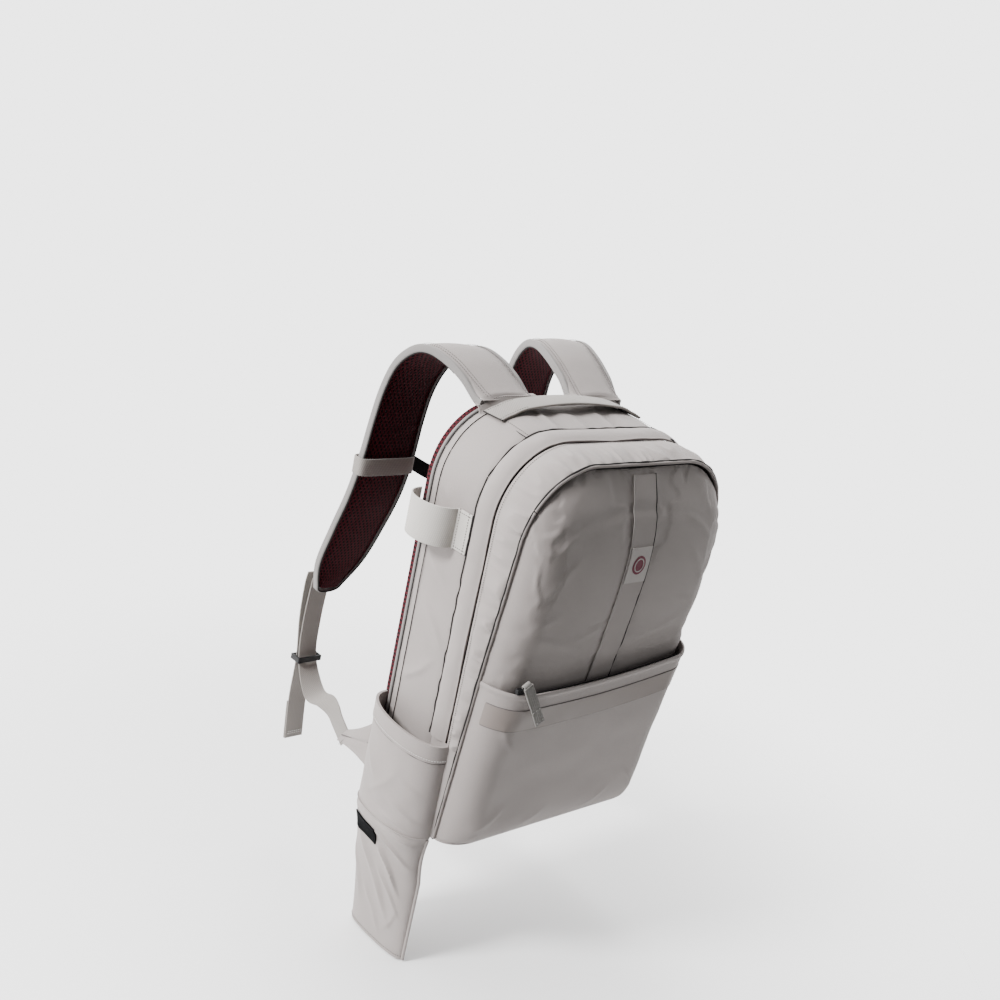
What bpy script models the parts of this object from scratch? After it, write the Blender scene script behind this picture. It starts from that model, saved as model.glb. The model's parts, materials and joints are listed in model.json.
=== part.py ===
"""Stick and racket backpack: an arch-shaped bag whose front opens on a hinge line at the zip ends.

The wearer's side is +Y, the front is -Y and +X is the right-hand side seen from the front. The origin is
the centre of the back pad's contact face. Sizes are in metres; heights are measured up from the base and
depths forward from the back pad's face, and place() turns them into the part's frame.
"""
import math

import bmesh
import bpy
from mathutils import Matrix, Vector

# ---- overall sizes -------------------------------------------------------------------------------
BODY_WIDTH = 0.296
BODY_HEIGHT = 0.452
TOP_DROP = 0.019            # the front of the arch is this much lower than its back
CORNER_RADIUS = 0.080       # the two top corners of the arch
FOOT_RADIUS = 0.014         # bottom corners of the flat plates in the back

# (share of the arch height, depth) of the front seam and of the front panel's middle line
SEAM_LINE = ((0.0, 0.125), (0.25, 0.134), (0.50, 0.143), (0.75, 0.154), (1.0, 0.163))
FRONT_LINE = ((0.0, 0.146), (0.25, 0.158), (0.42, 0.1690), (0.48, 0.1735), (0.72, 0.185),
              (0.84, 0.184), (1.0, 0.166))
EDGE_ROUND = 0.034          # how far in from the side seams the front takes to reach its full depth
CROWN_ROUND = 0.050         # the same, below the top seam

# ---- thicknesses and clearances ------------------------------------------------------------------
GAP = 0.0004                # between touching pieces
WALL = 0.0022               # lined fabric wall
TAPE = 0.0012               # zip tape, ribbon and patches
PLATE = 0.0016              # stiffening sheet
BASE_CLEAR = 0.0012         # base panel behind the steep front wall

# ---- back and inside -----------------------------------------------------------------------------
BACK_PAD = 0.012
BACK_PAD_INSET = 0.004
FRAME_SHEET_INSET = 0.008
DIVIDER_DEPTH = 0.043
DIVIDER_THICKNESS = 0.004
DIVIDER_HEIGHT = 0.300
DIVIDER_SIDE_GAP = 0.006

# ---- arch zip ------------------------------------------------------------------------------------
FLAP_SEAM = 0.0905          # depth where the storm flap is sewn on
FLAP_EDGE = 0.1106          # depth of its free edge
ZIP_LINE = 0.1114           # depth where the two rows of teeth meet
TAPE_INSET = 0.0034
TAPE_WIDTH = 0.0140
GUSSET_START = 0.1166
ZIP_END = 0.113             # height where the arch zip ends on both sides, and where the front folds
TOP_SEAM_ANGLE = 66.0       # on the corner arc, where the side panels meet the top panel

# ---- front ---------------------------------------------------------------------------------------
FRONT_WALL = 0.0025
FRONT_INSET = 0.0028
HINGE_OUT = 0.005           # the fold of the front lies this far before its foremost skin
POCKET_TOP = 0.208          # the mouth's edge at the sides' mean, before its sag and slope
POCKET_EDGE_SAG = 0.008     # the edge hangs lower at the middle
POCKET_EDGE_SLOPE = 0.050   # and climbs to the right
POCKET_SPACE = 0.0105
POCKET_FOOT_ROUND = 0.030
STRIP_WIDTH = 0.033
STRIP_FOOT = 0.190
PATCH_WIDTH = 0.032
PATCH_FOOT = 0.313
PATCH_HEIGHT = 0.040
BAND_TOP_DROP = 0.020       # from the pocket's edge down to the smooth band
BAND_HEIGHT = 0.026
BAND_SIDE = 0.012
POCKET_ZIP_DROP = 0.009     # width of the tape below the edge

# ---- stick pocket, sleeve and loop on the left ---------------------------------------------------
STICK_BULGE = 0.032
STICK_BACK = 0.008
STICK_FRONT_GAP = 0.003
HEM_HEIGHT = 0.020
HEM_TOP_BACK = 0.121
HEM_TOP_FRONT = 0.112
HEM_EXTRA = 0.0006
SLEEVE_LENGTH = 0.162
SLEEVE_TOP_BACK = 0.009
SLEEVE_TOP_WIDTH = 0.114
SLEEVE_FOOT_BACK = 0.025
SLEEVE_FOOT_WIDTH = 0.097
SLEEVE_TOP_THICK = 0.022
SLEEVE_FOOT_THICK = 0.013
SLEEVE_PIVOT_OUT = 0.002     # the fold's axis outside the stick pocket
SLEEVE_PATCH_WIDTH = 0.042
SLEEVE_PATCH_HEIGHT = 0.020
SLEEVE_PATCH_DROP = 0.016
SLEEVE_PATCH_BACK = 0.026
LOOP_BACK = 0.006
LOOP_FRONT = 0.068
LOOP_BULGE = 0.030
LOOP_HEIGHT = 0.043
LOOP_MIDDLE = 0.338
LOOP_THICK = 0.0018

# ---- grab handle ---------------------------------------------------------------------------------
HANDLE_LENGTH = 0.176
HANDLE_WIDTH = 0.030
HANDLE_THICK = 0.0026
HANDLE_RISE = 0.009
HANDLE_DEPTH = 0.039
HANDLE_TAB = 0.016

# ---- shoulder straps -----------------------------------------------------------------------------
STRAP_THICK = 0.0085
MESH_THICK = 0.0030
MESH_INSET = 0.004
STRAP_ROOT_DEPTH = 0.010
STRAP_ROOT_RISE = 0.0028    # strap root above the arch's back edge
# left strap from its root: outwards, backwards, upwards, width
STRAP_LINE = (
    (-0.0010, -0.009, -0.0014, 0.074),
    (0.0000, 0.000, 0.0010, 0.074),
    (0.0040, 0.020, 0.012, 0.075),
    (0.0080, 0.042, 0.023, 0.077),
    (0.0140, 0.066, 0.0290, 0.078),
    (0.0200, 0.086, 0.0235, 0.075),
    (0.0270, 0.104, 0.004, 0.071),
    (0.0320, 0.114, -0.026, 0.068),
    (0.0360, 0.1175, -0.062, 0.068),
    (0.0400, 0.1190, -0.106, 0.070),
    (0.0440, 0.1250, -0.151, 0.071),
    (0.0500, 0.1360, -0.196, 0.069),
    (0.0590, 0.1460, -0.242, 0.060),
    (0.0690, 0.1490, -0.274, 0.030),
)
STRAP_ROOT_X = 0.068
STRAP_REACH_LEFT = 1.0
STRAP_REACH_RIGHT = 1.2     # the right strap hangs in a wider bow
STRAP_STEPS = 3
MESH_START = 6              # stations of bare fabric before the mesh lining begins

WEBBING_WIDTH = 0.025
WEBBING_THICK = 0.0015
LADDER_WIDTH = 0.034
LADDER_HEIGHT = 0.026
LADDER_THICK = 0.005
LADDER_SLOT = 0.005
LOCK_STATION = -4           # station of the strap under the ladder lock's middle
KEEPER_HEIGHT = 0.007
KEEPER_WALL = 0.0020
KEEPER_DEPTH = 0.017
KEEPER_DROP = 0.099         # below the pad's end
TAIL_LENGTH = 0.208
WEBBING_START = 0.012       # the webbing comes off the back of the pad's end by this much
WEBBING_BACK = 0.003        # how far it bows backwards on its way down
TAIL_START = 0.0115         # the tail lies behind the load webbing, at the lock and at the keeper
TAIL_AT_KEEPER = 0.0055
TAIL_FORWARD = 0.009        # the tail's end hangs forward of its start
# the webbing's turn into the wing: share of the way back to the strap, height above the tip, turn
LOAD_TURN = ((0.73, 0.020, 0.35), (0.45, 0.022, 0.65), (0.27, 0.019, 0.90), (0.14, 0.010, 1.0))
WING_ROOT_HEIGHT = 0.090
WING_REACH = 0.062          # from the back to the middle of the tip
WING_TIP_HEIGHT = 0.026
WING_TIP_LEAN_DEG = 35.0    # the tip's edge leans back at its foot
WING_THICK = 0.0026
WEBBING_IN = 0.0105         # from the bag's side to the middle of the hanging webbing
WING_TIP_IN = 0.0070        # the same to the middle of the wing's tip and of its sewn root
WING_ROOT_IN = 0.0011

# ---- sternum strap -------------------------------------------------------------------------------
STERNUM_DROP = 0.116        # below the strap roots
STERNUM_WIDTH = 0.020
STERNUM_LOOP_THICK = 0.0018
STERNUM_CLEAR = 0.0022      # at the strap's edges, so that the loop can be moved along it
STERNUM_SAG = 0.018
BUCKLE_LENGTH = 0.034
BUCKLE_WIDTH = 0.028
BUCKLE_THICK = 0.009
STERNUM_TAIL = 0.040

# ---- sliders and pulls ---------------------------------------------------------------------------
SLIDER_LENGTH = 0.013
SLIDER_WIDTH = 0.008
SLIDER_ANGLE_UPPER = 57.0
SLIDER_ANGLE_LOWER = 43.0
MAIN_SLIDER_HEIGHT = 0.0013
MAIN_SLIDER_SINK = 0.0008   # below the arch's outline, under the flap
PULL_WIDTH = 0.0042
PULL_LENGTH = 0.022
PULL_THICK = 0.0016
PULL_SINK = 0.0004
PULL_DEPTH = 0.1136         # between the flap's edge and the gusset
POCKET_SLIDER_IN = 0.025    # from the bag's left side to the parked slider
POCKET_SLIDER_DEEP = 0.005
POCKET_SLIDER_TALL = 0.006
POCKET_PULL_RISE = 0.007    # the pull's loop above the slider's middle
POCKET_PULL_LENGTH = 0.058
POCKET_PULL_WIDTH = 0.010
POCKET_PULL_THICK = 0.0022
POCKET_PULL_TILT_DEG = 32.0

# ---- derived -------------------------------------------------------------------------------------
HALF = BODY_WIDTH / 2
FRONT_FULL = max(depth for _, depth in FRONT_LINE)
HINGE_DEPTH = FRONT_FULL + HINGE_OUT
POCKET_SLIDER_X = POCKET_SLIDER_IN - HALF
BACK_WALL_BACK = BACK_PAD + GAP
BACK_WALL_FRONT = BACK_WALL_BACK + WALL
PANEL_START = BACK_WALL_FRONT + GAP
MESH_STEPS = 26


for old in list(bpy.data.objects):
    bpy.data.objects.remove(old, do_unlink=True)


def place(x, depth, height):
    """A point of the part's frame from its distance forward of the back and above the base."""
    return Vector((x, -depth, height - BODY_HEIGHT / 2))


def make_material(name, color, roughness, metallic=0.0):
    made = bpy.data.materials.new(name)
    made.use_nodes = True
    shader = made.node_tree.nodes["Principled BSDF"]
    shader.inputs["Base Color"].default_value = (*color, 1.0)
    shader.inputs["Roughness"].default_value = roughness
    shader.inputs["Metallic"].default_value = metallic
    return made


FABRIC = make_material("fabric_warm_grey", (0.42, 0.39, 0.38), 0.80)
FABRIC_DARK = make_material("fabric_taupe", (0.28, 0.25, 0.235), 0.55)
WEBBING = make_material("webbing_grey", (0.40, 0.38, 0.36), 0.75)
AIR_MESH = make_material("air_mesh_burgundy", (0.13, 0.018, 0.03), 0.90)
FASTENER = make_material("touch_fastener_black", (0.012, 0.012, 0.013), 0.95)
PLASTIC = make_material("plastic_black", (0.015, 0.015, 0.016), 0.40)
STIFFENER = make_material("stiffener_sheet", (0.60, 0.60, 0.58), 0.50)
PATCH = make_material("emblem_ground", (0.55, 0.52, 0.50), 0.70)
LINING = make_material("lining_grey", (0.20, 0.19, 0.19), 0.85)


def joint_frame(name, point):
    """An empty on a joint's axis, which the pieces of the moving body hang from."""
    empty = bpy.data.objects.new(name, None)
    empty.location = point
    bpy.context.scene.collection.objects.link(empty)
    return empty


def add_piece(name, bm, material, parent=None):
    """Turns a finished bmesh in the part's frame into a named object under its joint's empty."""
    bmesh.ops.recalc_face_normals(bm, faces=bm.faces)
    if parent is not None:
        bmesh.ops.translate(bm, verts=bm.verts, vec=-parent.location)
    mesh = bpy.data.meshes.new(name)
    bm.to_mesh(mesh)
    bm.free()
    mesh.shade_smooth()
    mesh.set_sharp_from_angle(angle=math.radians(35))
    mesh.materials.append(material)
    piece = bpy.data.objects.new(name, mesh)
    piece.parent = parent
    bpy.context.scene.collection.objects.link(piece)
    return piece


def curve_value(points, position):
    """A smooth line through (position, value) points, with the slope at each point from its neighbours."""
    position = min(max(position, points[0][0]), points[-1][0])
    index = 0
    while index < len(points) - 2 and position > points[index + 1][0]:
        index += 1
    (start, low), (end, high) = points[index], points[index + 1]
    before = points[max(index - 1, 0)]
    after = points[min(index + 2, len(points) - 1)]
    slope_low = (high - before[1]) / (end - before[0])
    slope_high = (after[1] - low) / (after[0] - start)
    span = end - start
    t = (position - start) / span
    return ((2 * t ** 3 - 3 * t ** 2 + 1) * low + (t ** 3 - 2 * t ** 2 + t) * span * slope_low
            + (3 * t ** 2 - 2 * t ** 3) * high + (t ** 3 - t ** 2) * span * slope_high)


def smooth_path(points, steps):
    """Points of any dimension along a Catmull-Rom curve through the given ones."""
    path = []
    for index in range(len(points) - 1):
        corners = [points[max(index - 1, 0)], points[index], points[index + 1],
                   points[min(index + 2, len(points) - 1)]]
        for step in range(steps):
            t = step / steps
            weights = (-0.5 * t ** 3 + t ** 2 - 0.5 * t, 1.5 * t ** 3 - 2.5 * t ** 2 + 1,
                       -1.5 * t ** 3 + 2 * t ** 2 + 0.5 * t, 0.5 * t ** 3 - 0.5 * t ** 2)
            path.append(tuple(sum(w * c[axis] for w, c in zip(weights, corners))
                              for axis in range(len(points[0]))))
    path.append(tuple(points[-1]))
    return path


def spread(start, end, count):
    """Evenly spaced values from start to end, both included."""
    return [start + (end - start) * index / (count - 1) for index in range(count)]


def rise(t):
    """A quarter round that starts steep at 0 and is level at 1 and beyond."""
    t = min(max(t, 0.0), 1.0)
    return math.sqrt(1 - (1 - t) ** 2)


# ---- the arch ------------------------------------------------------------------------------------
def top_height(depth):
    return BODY_HEIGHT - TOP_DROP * (max(depth, 0.0) / FRONT_FULL) ** 1.4


def half_width(height, depth, inset):
    """Half the arch's width at a height, inside its outline by the inset."""
    radius = CORNER_RADIUS - inset
    above = min(max(height - (top_height(depth) - CORNER_RADIUS), 0.0), radius)
    return HALF - CORNER_RADIUS + math.sqrt(radius ** 2 - above ** 2)


def station_point(station, depth, inset):
    """(x, height) of a station on the arch: ('side', sign, height) or ('corner', sign, degrees)."""
    kind, sign, value = station
    if kind == "side":
        return sign * (HALF - inset), value
    angle = math.radians(value)
    radius = CORNER_RADIUS - inset
    x = HALF - CORNER_RADIUS + radius * math.cos(angle)
    return sign * x, top_height(depth) - CORNER_RADIUS + radius * math.sin(angle)


def side_run(sign, foot, last_angle):
    """Stations up one side of the arch and round its corner to an angle."""
    straight = BODY_HEIGHT - TOP_DROP - CORNER_RADIUS
    run = [("side", sign, height) for height in spread(foot, straight, 5)[:-1]]
    run += [("corner", sign, angle) for angle in spread(0.0, last_angle, 7)]
    return run


def whole_arch(foot):
    return side_run(-1, foot, 90.0) + side_run(1, foot, 90.0)[::-1]


def top_run(angle):
    """Stations across the top from one corner seam to the other."""
    left = [("corner", -1, value) for value in spread(angle, 90.0, 4)]
    right = [("corner", 1, value) for value in spread(90.0, angle, 4)]
    return left + right


def seam_depth(height):
    return curve_value(SEAM_LINE, height / (BODY_HEIGHT - TOP_DROP))


def arch_rows(stations, start, end, inset, steps):
    """Grid of points on the arch from one depth to another; end None stands for the front seam."""
    rows = []
    for step in range(steps):
        row = []
        for station in stations:
            last = end
            if end is None:
                last = seam_depth(station_point(station, FRONT_FULL, inset)[1])
            depth = start + (last - start) * step / (steps - 1)
            x, height = station_point(station, depth, inset)
            row.append(place(x, depth, height))
        rows.append(row)
    return rows


# ---- solids from grids ---------------------------------------------------------------------------
def grid_solid(outer, inner):
    """A closed solid between two grids of points with the same rows and columns."""
    bm = bmesh.new()
    rows = len(outer)
    cols = len(outer[0])
    skins = [[[bm.verts.new(point) for point in row] for row in grid] for grid in (outer, inner)]
    for skin in skins:
        for i in range(rows - 1):
            for j in range(cols - 1):
                bm.faces.new((skin[i][j], skin[i][j + 1], skin[i + 1][j + 1], skin[i + 1][j]))
    rim = [(0, j) for j in range(cols)]
    rim += [(i, cols - 1) for i in range(1, rows)]
    rim += [(rows - 1, j) for j in range(cols - 2, -1, -1)]
    rim += [(i, 0) for i in range(rows - 2, 0, -1)]
    for (a, b), (c, d) in zip(rim, rim[1:] + rim[:1]):
        bm.faces.new((skins[0][a][b], skins[0][c][d], skins[1][c][d], skins[1][a][b]))
    return bm


def arch_band(name, material, stations, start, end, inset, thick, parent=None, steps=2):
    outer = arch_rows(stations, start, end, inset, steps)
    inner = arch_rows(stations, start, end, inset + thick, steps)
    return add_piece(name, grid_solid(outer, inner), material, parent)


def cup(outer_rings, inner_rings):
    """A vessel closed at the last rings, with its mouth at the first ones."""
    bm = bmesh.new()
    outer = [[bm.verts.new(point) for point in ring] for ring in outer_rings]
    inner = [[bm.verts.new(point) for point in ring] for ring in inner_rings]
    count = len(outer[0])
    for rings in (outer, inner):
        for upper, lower in zip(rings, rings[1:]):
            for j in range(count):
                k = (j + 1) % count
                bm.faces.new((upper[j], upper[k], lower[k], lower[j]))
        bm.faces.new(rings[-1])
    for j in range(count):
        k = (j + 1) % count
        bm.faces.new((outer[0][j], outer[0][k], inner[0][k], inner[0][j]))
    return bm


def prism(outline, direction):
    """A flat outline pushed along a vector."""
    bm = bmesh.new()
    face = bm.faces.new([bm.verts.new(point) for point in outline])
    pushed = bmesh.ops.extrude_face_region(bm, geom=[face])
    moved = [item for item in pushed["geom"] if isinstance(item, bmesh.types.BMVert)]
    bmesh.ops.translate(bm, verts=moved, vec=direction)
    return bm


def block(centre, size, bevel, turn=None):
    """A box with rounded edges, turned by a matrix about its centre."""
    bm = bmesh.new()
    bmesh.ops.create_cube(bm, size=1.0)
    bmesh.ops.scale(bm, vec=size, verts=bm.verts)
    if bevel > 0:
        bmesh.ops.bevel(bm, geom=bm.edges[:], offset=bevel, segments=2, affect="EDGES", profile=0.5)
    if turn is not None:
        bmesh.ops.transform(bm, matrix=turn, verts=bm.verts)
    bmesh.ops.translate(bm, vec=centre, verts=bm.verts)
    return bm


def cut(piece, tool_mesh, name):
    """Takes one closed shape out of a piece with a live Boolean."""
    mesh = bpy.data.meshes.new(name)
    bmesh.ops.recalc_face_normals(tool_mesh, faces=tool_mesh.faces)
    if piece.parent is not None:
        bmesh.ops.translate(tool_mesh, verts=tool_mesh.verts, vec=-piece.parent.location)
    tool_mesh.to_mesh(mesh)
    tool_mesh.free()
    tool = bpy.data.objects.new(name, mesh)
    tool.parent = piece.parent
    tool.hide_render = True
    tool.display_type = "WIRE"
    bpy.context.scene.collection.objects.link(tool)
    modifier = piece.modifiers.new(name, "BOOLEAN")
    modifier.operation = "DIFFERENCE"
    modifier.solver = "EXACT"
    modifier.object = tool


def arch_plate(name, material, back, front, inset, foot, top=None, side_gap=0.0):
    """A flat sheet with the arch's outline, or cut off level at a lower height."""
    limit = top_height(front) - inset if top is None else top
    half = HALF - inset - side_gap
    outline = []
    for angle in spread(180.0, 270.0, 4):
        turn = math.radians(angle)
        outline.append((FOOT_RADIUS * math.cos(turn) - half + FOOT_RADIUS,
                        FOOT_RADIUS * math.sin(turn) + foot + FOOT_RADIUS))
    outline += [(-x, height) for x, height in outline[::-1]]
    if top is None:
        right = [station_point(("corner", 1, angle), front, inset) for angle in spread(0.0, 90.0, 9)]
        outline += right + [(-x, height) for x, height in right[::-1]]
    else:
        outline += [(half, limit), (-half, limit)]
    return add_piece(name, prism([place(x, back, height) for x, height in outline],
                                 Vector((0, back - front, 0))), material)


# ---- the front's surface -------------------------------------------------------------------------
def front_depth(x, height):
    """Depth of the front wall's outer skin."""
    top = top_height(FRONT_FULL) - FRONT_INSET
    share = height / (BODY_HEIGHT - TOP_DROP)
    side = half_width(height, FRONT_FULL, FRONT_INSET) - abs(x)
    seam = curve_value(SEAM_LINE, share) - FRONT_INSET
    full = curve_value(FRONT_LINE, share)
    return seam + (full - seam) * rise(side / EDGE_ROUND) * rise((top - height) / CROWN_ROUND)


def pocket_lift(x, height):
    """How far the pocket wall stands off the front wall."""
    side = half_width(height, FRONT_FULL, FRONT_INSET) - abs(x)
    return GAP + POCKET_SPACE * rise(side / EDGE_ROUND) * rise(height / POCKET_FOOT_ROUND)


def level(height):
    return lambda x: height


def pocket_line(drop):
    """Height of a line a constant distance below the pocket's edge, as a function of x."""
    def line(x):
        sag = POCKET_EDGE_SAG * (1 - (x / HALF) ** 2)
        return POCKET_TOP + POCKET_EDGE_SLOPE * x - sag - drop
    return line


def front_rows(foot, top, half, lift, rows, cols):
    """Grid over the front between two lines of heights; half None runs to the side seams."""
    grid = []
    for row in range(rows):
        share = math.sin(math.pi / 2 * row / (rows - 1))
        reach = half
        if half is None:
            middle = foot(0.0) + (top(0.0) - foot(0.0)) * share
            reach = half_width(middle, FRONT_FULL, FRONT_INSET)
        line = []
        for col in range(cols):
            x = reach * math.sin(math.pi * (col / (cols - 1) - 0.5))
            height = foot(x) + (top(x) - foot(x)) * share
            line.append(place(x, front_depth(x, height) + lift(x, height), height))
        grid.append(line)
    return grid


def front_sheet(name, material, foot, top, half, lift, thick, parent=None, rows=6, cols=MESH_STEPS):
    """A layer of the front, from its stand-off outwards by its thickness."""
    outer = front_rows(foot, top, half, lambda x, z: lift(x, z) + thick, rows, cols)
    inner = front_rows(foot, top, half, lift, rows, cols)
    return add_piece(name, grid_solid(outer, inner), material, parent)


# ---- the back, the walls and the inside ----------------------------------------------------------
def make_back():
    arch_plate("back_pad", AIR_MESH, 0.0, BACK_PAD, BACK_PAD_INSET, BACK_PAD_INSET)
    arch_plate("back_wall", FABRIC, BACK_WALL_BACK, BACK_WALL_FRONT, 0.0, 0.0)
    sheet = PANEL_START
    arch_plate("frame_sheet", STIFFENER, sheet, sheet + PLATE, FRAME_SHEET_INSET, FRAME_SHEET_INSET)
    arch_plate("laptop_divider", LINING, DIVIDER_DEPTH, DIVIDER_DEPTH + DIVIDER_THICKNESS, WALL + GAP,
               WALL + 2 * GAP, DIVIDER_HEIGHT, DIVIDER_SIDE_GAP)


def make_walls():
    seam_gap = math.degrees(GAP / CORNER_RADIUS) / 2
    for label, sign in (("left", -1), ("right", 1)):
        run = side_run(sign, 0.0, TOP_SEAM_ANGLE - seam_gap)
        arch_band("side_panel_" + label, FABRIC, run, PANEL_START, FLAP_SEAM - GAP, 0.0, WALL)
        lower = [("side", sign, 0.0), ("side", sign, ZIP_END / 2), ("side", sign, ZIP_END - GAP / 2)]
        arch_band("lower_side_" + label, FABRIC, lower, FLAP_SEAM, None, 0.0, WALL, steps=4)
    arch_band("top_panel", FABRIC, top_run(TOP_SEAM_ANGLE + seam_gap), PANEL_START, FLAP_SEAM - GAP,
              0.0, WALL, steps=4)
    base_half = HALF - WALL - GAP
    front_half = HALF - FRONT_INSET
    outline = [(-base_half, PANEL_START), (base_half, PANEL_START)]
    for angle in spread(90.0, -90.0, MESH_STEPS):
        x = front_half * math.sin(math.radians(angle))
        outline.append((x, front_depth(x, 0.0) - FRONT_WALL - BASE_CLEAR))
    add_piece("base_panel", prism([place(x, depth, 0.0) for x, depth in outline], Vector((0, 0, WALL))),
              FABRIC)


def make_zip():
    flap_inset = -(GAP / 4 + WALL)
    arch_band("storm_flap", FABRIC, whole_arch(ZIP_END + GAP), FLAP_SEAM, FLAP_EDGE, flap_inset, WALL)
    arch_band("zip_tape_body", PLASTIC, whole_arch(ZIP_END + GAP), FLAP_SEAM, ZIP_LINE - GAP / 2,
              TAPE_INSET, TAPE)


# ---- the opening front ---------------------------------------------------------------------------
def make_front(door):
    foot = ZIP_END + GAP / 2
    lower_top = level(ZIP_END - GAP / 2)
    arch = whole_arch(foot)
    top = top_height(FRONT_FULL) - FRONT_INSET
    arch_band("door_gusset", FABRIC, arch, GUSSET_START, None, 0.0, WALL, door, 3)
    arch_band("zip_tape_door", PLASTIC, arch, ZIP_LINE + GAP / 2, ZIP_LINE + TAPE_WIDTH, TAPE_INSET,
              TAPE, door)
    front_sheet("front_panel", FABRIC, level(foot), level(top), None, behind_front, FRONT_WALL, door, 20)
    front_sheet("front_wall_lower", FABRIC, level(0.0), lower_top, None, behind_front, FRONT_WALL)
    front_sheet("pocket_wall_upper", FABRIC, level(foot), pocket_line(0.0), None, pocket_lift, WALL, door)
    front_sheet("pocket_wall_lower", FABRIC, level(0.0), lower_top, None, pocket_lift, WALL)
    front_sheet("pocket_band", FABRIC_DARK, pocket_line(BAND_TOP_DROP + BAND_HEIGHT),
                pocket_line(BAND_TOP_DROP), HALF - BAND_SIDE, on_pocket, TAPE / 2, door, 3)
    front_sheet("centre_strip", FABRIC, level(STRIP_FOOT), level(top - CROWN_ROUND / 10), STRIP_WIDTH / 2,
                on_front, TAPE, door, 20, 3)
    front_sheet("emblem_patch", PATCH, level(PATCH_FOOT), level(PATCH_FOOT + PATCH_HEIGHT),
                PATCH_WIDTH / 2, on_strip, TAPE / 2, door, 4, 3)
    front_sheet("pocket_zip_tape", PLASTIC, pocket_line(POCKET_ZIP_DROP), pocket_line(0.0),
                HALF - EDGE_ROUND, in_pocket, TAPE, door, 3)


def behind_front(x, height):
    return -FRONT_WALL


def on_front(x, height):
    return 2 * GAP


def on_strip(x, height):
    return 3 * GAP + TAPE


def on_pocket(x, height):
    return pocket_lift(x, height) + WALL + GAP


def in_pocket(x, height):
    return pocket_lift(x, height) - TAPE - 3 * GAP


# ---- stick pocket, drop sleeve and loop ----------------------------------------------------------
def bow(back, front, bulge, count):
    """Points in plan round a D-shaped bow on the bag's left side, from its back end to its front end."""
    points = []
    for index in range(count):
        angle = math.pi * index / (count - 1)
        depth = (back + front) / 2 - (front - back) / 2 * math.cos(angle)
        out = bulge * math.sin(angle) ** 0.75
        points.append((depth, out))
    return points


def bow_rows(back, front, bulge, feet, tops, offset, rows, count):
    """Grid up a bow; feet and tops are the heights at its back and front ends."""
    base = HALF + GAP
    grid = []
    for row in range(rows):
        line = []
        for depth, out in bow(back, front, bulge, count):
            share = (depth - back) / (front - back)
            foot = feet[0] + (feet[1] - feet[0]) * share
            top = tops[0] + (tops[1] - tops[0]) * share
            height = foot + (top - foot) * row / (rows - 1)
            narrow = 1 - offset * 2 / (front - back)
            middle = (back + front) / 2
            line.append(place(-(base + out * (1 - offset / bulge)), middle + (depth - middle) * narrow,
                              height))
        grid.append(line)
    return grid


def make_stick_side():
    back = STICK_BACK
    front = seam_depth(0.0) - STICK_FRONT_GAP
    tops = (HEM_TOP_BACK, HEM_TOP_FRONT)
    folds = (HEM_TOP_BACK - HEM_HEIGHT, HEM_TOP_FRONT - HEM_HEIGHT)
    hem_feet = (folds[0] + GAP, folds[1] + GAP)
    wall = [bow_rows(back, front, STICK_BULGE, (0.0, 0.0), folds, offset, 4, 15) for offset in (0.0, WALL)]
    add_piece("stick_pocket", grid_solid(*wall), FABRIC)
    hem = [bow_rows(back, front, STICK_BULGE, hem_feet, tops, offset, 2, 15)
           for offset in (-HEM_EXTRA, WALL)]
    add_piece("stick_pocket_hem", grid_solid(*hem), FABRIC)
    low = LOOP_MIDDLE - LOOP_HEIGHT / 2
    high = LOOP_MIDDLE + LOOP_HEIGHT / 2
    loop = [bow_rows(LOOP_BACK, LOOP_FRONT, LOOP_BULGE, (low, low), (high, high), offset, 2, 15)
            for offset in (0.0, LOOP_THICK)]
    add_piece("stick_loop", grid_solid(*loop), WEBBING)
    tab_start = LOOP_FRONT + GAP
    tab_length = FLAP_SEAM - GAP - tab_start
    centre = place(-(HALF + GAP + LOOP_THICK / 2), tab_start + tab_length / 2, LOOP_MIDDLE)
    add_piece("stick_loop_tab", block(centre, (LOOP_THICK, tab_length, LOOP_HEIGHT), 0.0), WEBBING)


def sleeve_ring(drop, offset, count=18):
    """An oval ring of the drop sleeve at a distance below its mouth."""
    share = drop / SLEEVE_LENGTH
    back = SLEEVE_TOP_BACK + (SLEEVE_FOOT_BACK - SLEEVE_TOP_BACK) * share
    width = SLEEVE_TOP_WIDTH + (SLEEVE_FOOT_WIDTH - SLEEVE_TOP_WIDTH) * share - 2 * offset
    thick = SLEEVE_TOP_THICK + (SLEEVE_FOOT_THICK - SLEEVE_TOP_THICK) * share - 2 * offset
    inner = HALF + 2 * GAP + offset
    ring = []
    for index in range(count):
        angle = 2 * math.pi * index / count
        across = abs(math.cos(angle)) ** 0.6 * math.copysign(0.5, math.cos(angle))
        out = abs(math.sin(angle)) ** 0.6 * math.copysign(0.5, math.sin(angle))
        ring.append(place(-(inner + thick * (0.5 + out)), back + offset + width * (0.5 + across),
                          -2 * GAP - drop))
    return ring


def make_sleeve(fold):
    drops = spread(0.0, SLEEVE_LENGTH, 5)
    outer = [sleeve_ring(drop, 0.0) for drop in drops]
    inner = [sleeve_ring(min(drop, SLEEVE_LENGTH - WALL), WALL) for drop in drops]
    add_piece("drop_sleeve", cup(outer, inner), FABRIC, fold)
    out = HALF + 2 * GAP + SLEEVE_TOP_THICK + GAP + TAPE / 2
    centre = place(-out, SLEEVE_PATCH_BACK + SLEEVE_PATCH_WIDTH / 2,
                   -SLEEVE_PATCH_DROP - SLEEVE_PATCH_HEIGHT / 2)
    add_piece("sleeve_fastener", block(centre, (TAPE, SLEEVE_PATCH_WIDTH, SLEEVE_PATCH_HEIGHT), 0.0),
              FASTENER, fold)


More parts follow.
